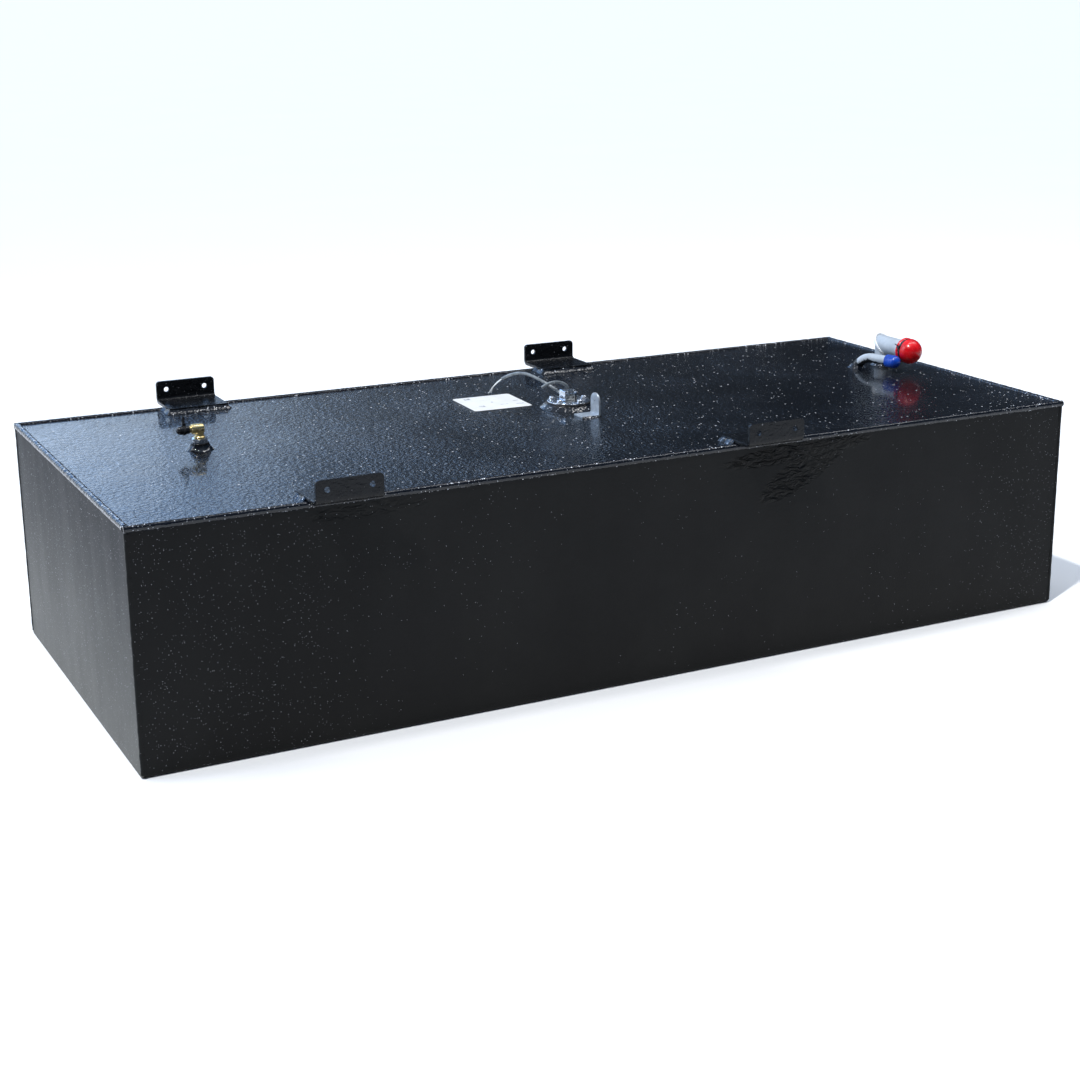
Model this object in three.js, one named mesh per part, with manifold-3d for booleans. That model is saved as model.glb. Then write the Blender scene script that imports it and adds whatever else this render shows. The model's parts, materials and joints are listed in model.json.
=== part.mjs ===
// A welded steel fluid reservoir for flat mounting: a wrapped tank with end plates, baffles, four
// L brackets, a capped outlet with its suction tube, a level sender, a mitred filler and a bent vent.
// Millimetres. The origin is the centre of the underside, +X runs along the tank, -Y is its front,
// and +Z is up.
import * as THREE from "three";
import { mergeVertices } from "three/addons/utils/BufferGeometryUtils.js";
import { ConvexGeometry } from "three/addons/geometries/ConvexGeometry.js";
import Module from "manifold-3d";

const wasm = await Module();
wasm.setup();

// ---- driving dimensions ----------------------------------------------------------------------

const GAP = 0.3; // left between pieces that touch
const SIDES = { small: 12, medium: 16, large: 24 }; // facets round a turned piece, by its size
const TANK = { length: 1600, width: 686, height: 356, sheet: 3, fold: 1.5 };
const EDGE_INSET = 1.7; // how far a covering plate stops short of the face it is welded to
const TOP_BEAD = { lap: 7, drop: 6, proud: 3.4 };
const CORNER_BEAD = { lap: 6, drop: 5, proud: 1.3 };
const BAFFLE = { x: 267, flange: 20, flowHole: 60, foot: 45, breather: 25 };

const BRACKET = {
  length: 100, leg: 80, height: 37, plate: 5, bend: 5, overhang: 35, lift: 4,
  cornerRadius: 6, holeRadius: 4.25, holeSpacing: 66, holeHeight: 22.5,
};
const BRACKET_PLACES = {
  front_left: [-497, -1], front_right: [199, -1], rear_left: [-507, 1], rear_right: [187, 1],
};
const FILLET = { toe: 7, crown: 1.2, height: 8.2 };

const LABEL = { x: -49, y: 122, side: 105, thickness: 0.6, turn: -2 };

const OUTLET = { x: -584, y: 36, bungRadius: 14.2, bungBore: 9, bungTop: 11.4, axis: 33, bore: 3.6 };
const DIP_TUBE = { radius: 6.85, bore: 4.6, foot: 62 };
const STRAINER = { radius: 30, height: 44, bottom: 15 };
const OUTLET_CAP = { rim: 16, dome: 29.3, radius: 6.6, wall: 1.7 };

const SENDER = { x: 51, y: 32, holeRadius: 24, bossBase: 47.5, bossTop: 38.6, flangeRadius: 36 };
const SENDER_LEVEL = { boss: 8.6, gasket: 10, flange: 12.3 }; // tops, above the tank's top
const SCREW = { count: 5, circle: 28.5, first: -4, headRadius: 4.6, washer: 5.6, shank: 2.2, hole: 2.5 };
const HOUSING = { width: 23.4, depth: 21, height: 16.5, sheet: 1.5, foot: 5 };
const STEM = { radius: 7, foot: 24 };
const FLOAT = { radius: 19, height: 46, bore: 7.6, bottom: 36.3, topStop: 316 };

const TAB = { left: 28, right: 62, front: -61, rear: -32, thickness: 3, height: 38 };

const PIPE_1_INCH = { radius: 16.7, bore: 13.3 };
const PIPE_3_8_INCH = { radius: 8.55, bore: 6.25 };
const FILLER = { x: 733, y: 70, axis: 38.5, reach: 82, below: 12 };
const FILLER_CAP = { rim: 64, dome: 77, radius: 22.9, wall: 2.8, neck: 20.5, tieAt: 72 };
const VENT = { x: 676, y: 75, axis: 22, bend: 40, reach: 82, below: 8, heading: 16 };
const VENT_CAP = { rim: 69, dome: 85, radius: 11.6, wall: 2.5 };

// The level sender's leads, in the tank's frame.
const LEAD_RADIUS = 2.5;
const WIRE_RADIUS = 0.9;
const SENDER_LEAD = [
  [44.5, 40.9, 375.4], [44, 45, 376.4], [42, 49.3, 378.8], [39.6, 54, 381.6], [36.2, 59, 384.8],
  [32.8, 64, 387.8], [29.6, 69.2, 390.5], [26.6, 74.3, 393], [20.6, 85.4, 397.3],
  [15, 97.4, 400.7], [9.6, 110.2, 402.6], [4.5, 123, 402], [0.2, 134.2, 399.4],
  [-4, 145.4, 395.2], [-7.6, 155, 390.6], [-10.5, 162.6, 386.5],
];
const WIRES = {
  white: [
    [-10.2, 163.6, 386.2], [-11, 165.9, 384.8], [-12, 168.5, 382.9], [-13.3, 171.6, 380.7],
    [-14.6, 174.6, 378.2], [-15.8, 177.4, 375.5], [-17, 180, 372.6], [-18, 182.3, 369.7],
    [-18.8, 184.2, 366.6], [-19.1, 185.1, 364.9], [-19.4, 185.9, 363.2], [-19.6, 186.6, 361.4],
    [-19.7, 187.1, 360.1], [-19.9, 187.6, 358.8], [-20, 188, 357.5],
  ],
  grey: [
    [-12, 162.6, 385.2], [-13.1, 165, 383.4], [-14.2, 167.4, 381.4], [-15.7, 170.4, 378.9],
    [-17.2, 173.4, 376.2], [-18.7, 176.3, 373.4], [-20, 179, 370.4], [-21.1, 181.4, 367.6],
    [-22, 183.4, 364.6], [-22.4, 184.6, 363.1], [-22.8, 185.6, 361.6], [-23.2, 186.6, 360],
    [-23.6, 187.6, 359.1], [-24, 188.6, 358.3], [-24.4, 189.6, 357.5],
  ],
};
const EARTH_LEAD = [
  [57.5, 41, 374.6], [57.8, 44.4, 375.8], [58.4, 47.2, 378.2], [58.6, 48.4, 381],
  [58.1, 49, 384.4], [56.8, 49, 387.4], [54.6, 48.8, 389.9], [51.8, 48.4, 392],
  [48.6, 48, 393.8], [45, 48, 395.2], [37.2, 48, 397], [29, 48, 397], [21, 48, 395.6],
  [14.4, 48, 393], [9, 48, 390],
];

// ---- materials -------------------------------------------------------------------------------

const paint = (color, roughness, metalness = 0.1) =>
  new THREE.MeshStandardMaterial({ color, roughness, metalness });
const MATERIAL = {
  gloss: paint(0x0b0d12, 0.22),
  wall: paint(0x0e0f10, 0.5),
  bead: paint(0x11141a, 0.25),
  bareSteel: paint(0x4a4d50, 0.5, 0.9),
  zinc: paint(0xb9bec4, 0.3, 1),
  galvanised: paint(0xa9b2bb, 0.42, 0.7),
  brass: paint(0xb89a55, 0.3, 1),
  stainless: paint(0xb4b8bc, 0.25, 1),
  label: paint(0xf2f3f2, 0.6, 0),
  gasket: paint(0x1a1a1a, 0.8, 0),
  nitrile: paint(0x222326, 0.7, 0),
  terminal: paint(0x8f8d86, 0.5, 0),
  lead: paint(0x9aa3a8, 0.45, 0),
  whiteWire: paint(0xe4e6e4, 0.45, 0),
  redCap: paint(0xd01824, 0.3, 0),
  blueCap: paint(0x1553c4, 0.3, 0),
  blackCap: paint(0x101114, 0.3, 0),
  tie: paint(0x0c0d0e, 0.4, 0),
};

// ---- solids ----------------------------------------------------------------------------------

function toSolid(geometry) {
  const bare = geometry.clone();
  bare.deleteAttribute("normal");
  bare.deleteAttribute("uv");
  const merged = mergeVertices(bare, 1e-4);
  return new wasm.Manifold(
    new wasm.Mesh({
      numProp: 3,
      vertProperties: new Float32Array(merged.attributes.position.array),
      triVerts: new Uint32Array(merged.index.array),
    }),
  );
}

function toGeometry(solid) {
  const { vertProperties, triVerts } = solid.getMesh();
  const geometry = new THREE.BufferGeometry();
  geometry.setAttribute("position", new THREE.BufferAttribute(vertProperties, 3));
  geometry.setIndex(new THREE.BufferAttribute(triVerts, 1));
  geometry.computeVertexNormals();
  return geometry;
}

const cut = (body, ...tools) =>
  toGeometry(tools.reduce((solid, tool) => solid.subtract(toSolid(tool)), toSolid(body)));
const join = (body, ...others) =>
  toGeometry(others.reduce((solid, other) => solid.add(toSolid(other)), toSolid(body)));
const common = (a, b) => toGeometry(toSolid(a).intersect(toSolid(b)));

const radians = THREE.MathUtils.degToRad;
const onCircle = (radius, degrees) => [
  radius * Math.cos(radians(degrees)),
  radius * Math.sin(radians(degrees)),
];

function mesh(name, geometry, material) {
  const made = new THREE.Mesh(geometry, material);
  made.name = name;
  return made;
}

// A box between two corners.
function block([x0, y0, z0], [x1, y1, z1]) {
  const box = new THREE.BoxGeometry(x1 - x0, y1 - y0, z1 - z0);
  return box.translate((x0 + x1) / 2, (y0 + y1) / 2, (z0 + z1) / 2);
}

// A profile of [radius, height] points, counter-clockwise, turned about Z.
function turned(profile, sides = SIDES.large) {
  const points = profile.map(([r, z]) => new THREE.Vector2(r, z));
  return new THREE.LatheGeometry(points, sides).rotateX(Math.PI / 2);
}

function ring(inner, outer, low, high, sides) {
  return turned([[inner, low], [outer, low], [outer, high], [inner, high], [inner, low]], sides);
}

function rod(radius, low, high, sides = SIDES.medium) {
  return turned([[0, low], [radius, low], [radius, high], [0, high]], sides);
}

// Points of an arc from one angle to another, about [x, y].
function arc([x, y], radius, from, to, steps = 5) {
  return Array.from({ length: steps + 1 }, (_, i) => {
    const [dx, dy] = onCircle(radius, from + ((to - from) * i) / steps);
    return [x + dx, y + dy];
  });
}

const outline = (points) => new THREE.Shape(points.map(([x, y]) => new THREE.Vector2(x, y)));
const roundOutline = (radius, sides) =>
  outline(Array.from({ length: sides }, (_, i) => onCircle(radius, (360 * i) / sides)));

const extruded = (shape, length) =>
  new THREE.ExtrudeGeometry(shape, { depth: length, bevelEnabled: false, steps: 1 })
    .translate(0, 0, -length / 2);
// An outline drawn in (Y, Z) and run along X, and one drawn in (X, Z) and run along Y.
const alongX = (shape, length) =>
  extruded(shape, length).rotateX(Math.PI / 2).rotateZ(Math.PI / 2);
const alongY = (shape, length) => extruded(shape, length).rotateX(Math.PI / 2);

// A round bar along a smooth curve through points.
function swept(points, radius, sides, steps) {
  const path = new THREE.CatmullRomCurve3(
    points.map((p) => new THREE.Vector3(...p)), false, "centripetal",
  );
  return new THREE.ExtrudeGeometry(roundOutline(radius, sides), {
    steps, bevelEnabled: false, extrudePath: path,
  });
}

// A push-on cap along Z: a skirt from its rim, closed by a half ball of the same radius.
function pushCap({ rim, dome, radius, wall }, sides, skirt = [], lining = []) {
  const inner = radius - wall;
  return turned([
    [inner, rim], [radius - 0.6, rim], [radius, rim + 0.6],
    ...skirt,
    ...arc([0, dome], radius, 0, 90),
    ...arc([0, dome], inner, 90, 0, 4),
    ...lining,
    [inner, rim],
  ], sides);
}

// A cable tie round Z: its band, its head and the tail that stands out of the head.
function cableTie(inner, height, band, headAngle, tail) {
  const outer = inner + 1.2;
  const head = block([outer - 0.8, -3, height - 2.8], [outer + 3.4, 3, height + 2.8]);
  const strip = block([outer + 0.6, 1, height - 1.9], [outer + 1.8, tail.length, height + 1.9])
    .translate(-outer, 0, 0)
    .rotateZ(radians(tail.lean))
    .translate(outer, 0, 0);
  return join(ring(inner, outer, height - band / 2, height + band / 2, SIDES.large), head, strip)
    .rotateZ(radians(headAngle));
}

// ---- tank shell ------------------------------------------------------------------------------

const HALF_LENGTH = TANK.length / 2;
const HALF_WIDTH = TANK.width / 2;
const WALL_TOP = TANK.height - TANK.sheet - GAP;

function wrapSheet() {
  const inside = HALF_WIDTH - TANK.sheet;
  const outer = TANK.sheet + TANK.fold;
  const profile = outline([
    [-HALF_WIDTH, WALL_TOP],
    ...arc([-HALF_WIDTH + outer, outer], outer, 180, 270),
    ...arc([HALF_WIDTH - outer, outer], outer, 270, 360),
    [HALF_WIDTH, WALL_TOP],
    [inside, WALL_TOP],
    ...arc([inside - TANK.fold, outer], TANK.fold, 360, 270, 4),
    ...arc([-inside + TANK.fold, outer], TANK.fold, 270, 180, 4),
    [-inside, WALL_TOP],
  ]);
  return alongX(profile, TANK.length - 2 * (TANK.sheet + GAP));
}

function endPlate() {
  const edge = HALF_WIDTH - EDGE_INSET;
  const corner = 4;
  const shape = outline([
    [-edge, WALL_TOP],
    ...arc([-edge + corner, corner], corner, 180, 270, 4),
    ...arc([edge - corner, corner], corner, 270, 360, 4),
    [edge, WALL_TOP],
  ]);
  return alongX(shape, TANK.sheet);
}

function topPlate() {
  const long = HALF_LENGTH - EDGE_INSET;
  const wide = HALF_WIDTH - EDGE_INSET;
  const under = TANK.height - TANK.sheet;
  const drill = ({ x, y }, radius, sides) =>
    rod(radius, under - 5, TANK.height + 5, sides).translate(x, y, 0);
  return cut(
    block([-long, -wide, under], [long, wide, TANK.height]),
    drill(OUTLET, OUTLET.bungRadius + GAP, SIDES.medium),
    drill(SENDER, SENDER.holeRadius, SIDES.large),
    drill(FILLER, PIPE_1_INCH.radius + GAP, SIDES.large),
    ventBar(PIPE_3_8_INCH.radius + GAP, 0).translate(VENT.x, VENT.y, TANK.height),
  );
}

// The bead on an outside corner joint, seen end on: the corner is the origin, the covered sheet runs
// down from it and the covering sheet runs to the right, set back by the edge inset.
function beadOutline({ lap, drop, proud }) {
  const shape = new THREE.Shape();
  shape.moveTo(-GAP, -drop);
  shape.bezierCurveTo(-1.25 * proud, -0.5 * drop, -0.9 * proud, 1.1 * proud, 0.35 * lap, proud);
  shape.quadraticCurveTo(0.85 * lap, 0.95 * proud, lap, GAP);
  shape.lineTo(EDGE_INSET - GAP, GAP);
  shape.lineTo(EDGE_INSET - GAP, -TANK.sheet);
  shape.lineTo(-GAP, -TANK.sheet);
  return outline(shape.getPoints(6).map(({ x, y }) => [x, y]));
}

function topBeads() {
  const group = new THREE.Group();
  const endRoom = TOP_BEAD.lap + GAP;
  for (const [side, turn] of [["front", 0], ["rear", Math.PI]]) {
    const bead = mesh("top_seam_weld_" + side,
      alongX(beadOutline(TOP_BEAD), TANK.length + TOP_BEAD.proud), MATERIAL.bead);
    bead.rotation.z = turn;
    bead.position.set(0, -HALF_WIDTH * Math.cos(turn), TANK.height);
    group.add(bead);
  }
  for (const [side, turn] of [["left", 0], ["right", Math.PI]]) {
    const bead = mesh("top_seam_weld_" + side,
      alongY(beadOutline(TOP_BEAD), TANK.width - 2 * endRoom), MATERIAL.bead);
    bead.rotation.z = turn;
    bead.position.set(-HALF_LENGTH * Math.cos(turn), 0, TANK.height);
    group.add(bead);
  }
  return group;
}

function cornerBeads() {
  const group = new THREE.Group();
  const low = 5;
  const high = TANK.height - TOP_BEAD.drop - 0.5;
  // Turned a quarter, so that the covering sheet of the joint is the end plate.
  const bead = extruded(beadOutline(CORNER_BEAD), high - low).rotateZ(Math.PI / 2);
  for (const [end, x] of [["left", -1], ["right", 1]])
    for (const [face, y] of [["front", -1], ["rear", 1]]) {
      const made = mesh("corner_weld_" + face + "_" + end, bead, MATERIAL.bead);
      made.scale.set(-x, -y, 1);
      made.position.set(x * HALF_LENGTH, y * HALF_WIDTH, (low + high) / 2);
      group.add(made);
    }
  return group;
}

// A pressed baffle across the tank: flanged on four sides, with a flow hole in the middle, large
// openings in its lower corners and small breathers in its upper ones.
function baffle() {
  const wide = HALF_WIDTH - TANK.sheet - GAP;
  const low = TANK.sheet + GAP;
  const high = TANK.height - TANK.sheet - GAP;
  const { foot, breather, flange, flowHole } = BAFFLE;
  const sheet = outline([
    [-wide + foot, low], [wide - foot, low], [wide - foot, low + foot], [wide, low + foot],
    [wide, high - breather], [wide - breather, high - breather], [wide - breather, high],
    [-wide + breather, high], [-wide + breather, high - breather], [-wide, high - breather],
    [-wide, low + foot], [-wide + foot, low + foot],
  ]);
  const flat = alongX(sheet, TANK.sheet).translate(TANK.sheet / 2, 0, 0);
  const flowCut = rod(flowHole, -10, 10, SIDES.large).rotateY(Math.PI / 2)
    .translate(0, 0, TANK.height / 2);
  return cut(
    join(
      flat,
      block([0, -wide + foot, low], [flange, wide - foot, low + TANK.sheet]),
      block([0, -wide + breather, high - TANK.sheet], [flange, wide - breather, high]),
      block([0, -wide, low + foot], [flange, -wide + TANK.sheet, high - breather]),
      block([0, wide - TANK.sheet, low + foot], [flange, wide, high - breather]),
    ),
    flowCut,
  );
}

function shell() {
  const group = new THREE.Group();
  group.add(mesh("wrap_sheet", wrapSheet(), MATERIAL.wall));
  for (const [name, side] of [["left_end_plate", -1], ["right_end_plate", 1]]) {
    const plate = mesh(name, endPlate(), MATERIAL.wall);
    plate.position.x = side * (HALF_LENGTH - TANK.sheet / 2);
    group.add(plate);
  }
  group.add(mesh("top_plate", topPlate(), MATERIAL.gloss));
  for (const [name, side] of [["left_baffle", -1], ["right_baffle", 1]]) {
    const made = mesh(name, baffle(), MATERIAL.bareSteel);
    made.position.x = side * BAFFLE.x;
    group.add(made);
  }
  group.add(topBeads(), cornerBeads());
  return group;
}

// ---- mounting brackets -----------------------------------------------------------------------

// The outer face is at y = 0, the underside at z = 0, and the leg runs towards +Y.
function bracketPlate() {
  const { length, leg, height, plate, bend, cornerRadius, holeRadius, holeSpacing } = BRACKET;
  const outer = bend + plate;
  const profile = outline([
    [leg, 0], [leg, plate], ...arc([outer, outer], bend, 270, 180, 5),
    [plate, height], [0, height], ...arc([outer, outer], outer, 180, 270, 6),
  ]);
  const half = length / 2;
  const face = outline([
    [-half, -1], [half, -1],
    ...arc([half - cornerRadius, height - cornerRadius], cornerRadius, 0, 90, 4),
    ...arc([-half + cornerRadius, height - cornerRadius], cornerRadius, 90, 180, 4),
  ]);
  const blank = common(alongX(profile, length), alongY(face, 3 * leg));
  const hole = rod(holeRadius, -plate, 2 * plate, SIDES.small).rotateX(-Math.PI / 2);
  return cut(
    blank,
    hole.clone().translate(-holeSpacing / 2, 0, BRACKET.holeHeight),
    hole.clone().translate(holeSpacing / 2, 0, BRACKET.holeHeight),
  );
}

// The fillet round the three edges of the leg that lie over the tank's top.
function bracketFillet() {
  const half = BRACKET.length / 2;
  const start = BRACKET.overhang + TOP_BEAD.lap + 1.5;
  const rectangle = (reach, z) => [
    [-half - reach, start, z], [half + reach, start, z],
    [-half - reach, BRACKET.leg + reach, z], [half + reach, BRACKET.leg + reach, z],
  ];
  const corners = [
    ...rectangle(FILLET.toe, GAP), ...rectangle(FILLET.toe * 0.45, FILLET.height * 0.55),
    ...rectangle(FILLET.crown, FILLET.height),
  ].map((p) => new THREE.Vector3(...p));
  return cut(
    new ConvexGeometry(corners),
    block([-half - GAP, 0, -1], [half + GAP, BRACKET.leg + GAP, 2 * FILLET.height]),
  );
}

function brackets() {
  const group = new THREE.Group();
  for (const [place, [x, side]] of Object.entries(BRACKET_PLACES)) {
    const bracket = new THREE.Group();
    const plate = mesh("bracket_" + place, bracketPlate(), MATERIAL.gloss);
    plate.position.z = BRACKET.lift;
    bracket.add(plate, mesh("bracket_weld_" + place, bracketFillet(), MATERIAL.bead));
    bracket.rotation.z = side > 0 ? Math.PI : 0;
    bracket.position.set(x, side * (HALF_WIDTH + BRACKET.overhang), TANK.height);
    group.add(bracket);
  }
  return group;
}

// ---- outlet: heights are above the tank's top ------------------------------------------------

function outletElbow() {
  const { axis, bore } = OUTLET;
  const arm = (radius, from, to, sides = SIDES.medium) =>
    rod(radius, from, to, sides).rotateY(-Math.PI / 2).translate(0, 0, axis);
  const body = join(
    turned([
      [0, 3.6], [6.5, 3.6], [6.5, 18.6], [8.7, 18.6], [8.7, 20.6], [6.8, 22.2], [6.8, axis],
      [0, axis],
    ], SIDES.medium),
    arm(7.9, -6.2, 12.5),
    turned([[0, -7.2], [6.4, -7.2], [7.9, -5.6], [7.9, -5], [0, -5]], SIDES.medium)
      .rotateY(-Math.PI / 2).translate(0, 0, axis),
    arm(5.6, 12, 15.6),
    arm(4.6, 15, 28),
  );
  return cut(body, rod(bore, 0, axis, SIDES.small), arm(bore, -bore, 40, SIDES.small));
}

function outlet() {
  const group = new THREE.Group();
  const { bungRadius, bungBore, bungTop } = OUTLET;
  const bushingBore = DIP_TUBE.radius + GAP;
  const hex = new THREE.CylinderGeometry(12.4, 12.8, 6.6, 6).rotateX(Math.PI / 2)
    .translate(0, 0, bungTop + GAP + 3.3);
  const bushing = cut(
    join(hex, rod(bungBore - GAP, -4, bungTop + 1)),
    rod(bushingBore, -10, 30),
  );
  const bung = turned([
    [bungBore, -8], [bungRadius, -8], [bungRadius, bungTop - 1], [bungRadius - 1, bungTop],
    [bungBore, bungTop], [bungBore, -8],
  ], SIDES.medium);
  const weld = turned([
    [bungRadius + GAP, GAP], [20.8, GAP], [19.6, 1.4], [17, 4.4], [15.2, 7.6],
    [bungRadius + GAP, 8], [bungRadius + GAP, GAP],
  ], SIDES.medium);
  group.add(
    mesh("outlet_bung", bung, MATERIAL.gloss),
    mesh("outlet_bung_weld", weld, MATERIAL.bead),
    mesh("outlet_bushing", bushing, MATERIAL.zinc),
    mesh("outlet_elbow", outletElbow(), MATERIAL.brass),
    mesh("dip_tube", dipTube(), MATERIAL.stainless),
    mesh("suction_strainer", strainer(), MATERIAL.stainless),
    outletCap(),
  );
  group.position.set(OUTLET.x, OUTLET.y, TANK.height);
  return group;
}

function dipTube() {
  return ring(DIP_TUBE.bore, DIP_TUBE.radius, DIP_TUBE.foot - TANK.height, 3.3, SIDES.small);
}

// A ribbed cup-shaped strainer that hangs on the foot of the dip tube, with its neck open upwards.
function strainer() {
  const low = STRAINER.bottom - TANK.height;
  const high = low + STRAINER.height;
  const neck = DIP_TUBE.foot - TANK.height + 8;
  const socket = DIP_TUBE.radius + GAP;
  const ribs = 3;
  const pitch = (STRAINER.height - 6) / ribs;
  const side = Array.from({ length: ribs }, (_, i) => [
    [STRAINER.radius, low + 3 + pitch * i],
    [STRAINER.radius - 2.5, low + 3 + pitch * (i + 0.5)],
  ]).flat();
  return turned([
    [0, low], [STRAINER.radius, low], ...side, [STRAINER.radius, high - 3], [STRAINER.radius, high],
    [12, high], [12, neck], [socket, neck], [socket, DIP_TUBE.foot - TANK.height - GAP],
    [0, DIP_TUBE.foot - TANK.height - GAP],
  ], SIDES.medium);
}

function outletCap() {
  const group = new THREE.Group();
  group.add(
    mesh("outlet_cap", pushCap(OUTLET_CAP, SIDES.medium), MATERIAL.blackCap),
    mesh("outlet_cap_tie",
      cableTie(OUTLET_CAP.radius + GAP, 24, 3.6, -4, { length: 13.5, lean: -78 }),
      MATERIAL.tie),
  );
  group.rotation.y = -Math.PI / 2;
  group.position.z = OUTLET.axis;
  return group;
}

// ---- level sender: heights are above the tank's top ------------------------------------------

const screwPlaces = Array.from({ length: SCREW.count }, (_, i) =>
  onCircle(SCREW.circle, SCREW.first + (360 * i) / SCREW.count));

const drilledForScrews = (body, low, high) =>
  cut(body, ...screwPlaces.map(([x, y]) => rod(SCREW.hole, low, high, 8).translate(x, y, 0)));

function senderBoss() {
  const top = SENDER_LEVEL.boss;
  const { holeRadius, bossBase, bossTop } = SENDER;
  const body = turned([
    [holeRadius, GAP], [bossBase, GAP], [bossBase - 0.8, 1.2], [bossBase - 4.5, 3.2],
    [bossTop + 0.6, 6], [bossTop - 1.2, top], [holeRadius, top], [holeRadius, GAP],
  ]);
  return drilledForScrews(body, 1.5, top + 5);
}

function senderHousing() {
  const { width, depth, height, sheet, foot } = HOUSING;
  const base = SENDER_LEVEL.flange + GAP;
  const half = width / 2;
  const profile = outline([
    [-half - foot, 0], [-half + sheet, 0], [-half + sheet, height - sheet],
    [half - sheet, height - sheet], [half - sheet, 0], [half + foot, 0], [half + foot, sheet],
    [half, sheet], ...arc([half - 2, height - 2], 2, 0, 90, 3),
    ...arc([-half + 2, height - 2], 2, 90, 180, 3), [-half, sheet], [-half - foot, sheet],
  ]);
  return alongY(profile, depth).translate(0, 0, base);
}

function levelSender() {
  const group = new THREE.Group();
  const { gasket, boss, flange } = SENDER_LEVEL;
  const washerTop = flange + GAP + 1;
  const headTop = washerTop + 3.3;
  const screw = turned([
    [0, 3], [SCREW.shank, 3], [SCREW.shank, flange + GAP], [SCREW.washer, flange + GAP],
    [SCREW.washer, washerTop], [SCREW.headRadius, washerTop], [SCREW.headRadius, washerTop + 1.6],
    [SCREW.headRadius - 1.4, headTop - 0.4], [0, headTop],
  ], SIDES.small);
  const disc = (low, high, hole, radius) =>
    drilledForScrews(ring(hole, radius, low, high, SIDES.large), low - 5, high + 5);
  group.add(
    mesh("sender_boss", senderBoss(), MATERIAL.gloss),
    mesh("sender_gasket", disc(boss + GAP, gasket - GAP, 22, 37), MATERIAL.gasket),
    mesh("sender_flange", disc(gasket, flange, STEM.radius + GAP, SENDER.flangeRadius),
      MATERIAL.zinc),
    mesh("sender_housing", senderHousing(), MATERIAL.zinc),
    mesh("sender_terminal_block",
      block([-9, -7, flange + GAP], [9, 8, flange + 10]), MATERIAL.terminal),
  );
  screwPlaces.forEach(([x, y], i) => {
    const made = mesh("sender_screw_" + (i + 1), screw, MATERIAL.zinc);
    made.position.set(x, y, 0);
    group.add(made);
  });
  group.position.set(SENDER.x, SENDER.y, TANK.height);
  return group;
}

// Heights of the stem and float are above the tank's underside.
function stemAndFloat() {
  const group = new THREE.Group();
  const collar = (low) => ring(STEM.radius + GAP, 10, low, low + 6, SIDES.small);
  const { radius, height, bore, bottom, topStop } = FLOAT;
  const top = bottom + height;
  const float = turned([
    [bore, bottom], ...arc([radius - 4, bottom + 4], 4, 270, 360, 2),
    ...arc([radius - 4, top - 4], 4, 0, 90, 2), [bore, top], [bore, bottom],
  ], SIDES.medium);
  group.add(
    mesh("sender_stem", rod(STEM.radius, STEM.foot, TANK.height + SENDER_LEVEL.flange, SIDES.small),
      MATERIAL.stainless),
    mesh("float_lower_stop", collar(bottom - 6 - GAP), MATERIAL.stainless),
    mesh("float_upper_stop", collar(topStop), MATERIAL.stainless),
    mesh("sender_float", float, MATERIAL.nitrile),
  );
  group.position.set(SENDER.x, SENDER.y, 0);
  return group;
}

function leads() {
  const group = new THREE.Group();
  group.add(
    mesh("sender_lead", swept(SENDER_LEAD, LEAD_RADIUS, 8, 22), MATERIAL.lead),
    mesh("earth_lead", swept(EARTH_LEAD, LEAD_RADIUS, 8, 18), MATERIAL.lead),
    mesh("sender_wire_white", swept(WIRES.white, WIRE_RADIUS, 8, 10), MATERIAL.whiteWire),
    mesh("sender_wire_grey", swept(WIRES.grey, WIRE_RADIUS, 8, 10), MATERIAL.whiteWire),
  );
  return group;
}

// ---- label and earth tab ---------------------------------------------------------------------

function label() {
  const half = LABEL.side / 2;
  const plate = mesh("data_label",
    block([-half, -half, GAP], [half, half, GAP + LABEL.thickness]), MATERIAL.label);
  plate.rotation.z = radians(LABEL.turn);
  plate.position.set(LABEL.x, LABEL.y, TANK.height);
  return plate;
}

function earthTab() {
  const group = new THREE.Group();
  const { left, right, front, rear, thickness, height } = TAB;
  const half = (rear - front) / 2;
  const middle = (rear + front) / 2;
  const strap = outline([
    [left, GAP], [right - 2, GAP], [right, GAP + 2], [right, height], [right - thickness, height],
    [right - thickness, GAP + thickness], [left, GAP + thickness],
  ]);
  const silhouette = outline([
    [-half, -1], [half, -1], ...arc([0, height - half], half, 0, 180, 12),
  ]);
  const blank = common(alongY(strap, 2 * half), alongX(silhouette, 300));
  const hole = rod(1.3, right - 3 * thickness, right + thickness, 8).rotateY(Math.PI / 2)
    .translate(0, 0, height - 13);
  const toe = right + GAP;
  const weld = alongY(outline([[toe, GAP], [toe + 5, GAP], [toe + 2.4, 3], [toe, 6]]), 20);
  group.add(
    mesh("earth_tab", cut(blank, hole), MATERIAL.zinc),
    mesh("earth_tab_weld", weld.translate(0, -3, 0), MATERIAL.bead),
  );
  group.position.set(0, middle, TANK.height);
  return group;
}

// ---- filler: heights are above the tank's top ------------------------------------------------

// A half space on one side of the mitre plane, which leans at 45 degrees between pipe and arm.
function mitreCutter(side) {
  const size = 200;
  return new THREE.BoxGeometry(size, size, size)
    .translate(0, 0, side * (size / 2 - GAP / 2))
    .rotateX(-Math.PI / 4)
    .rotateX(Math.PI / 2)
    .translate(0, 0, FILLER.axis);
}

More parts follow.
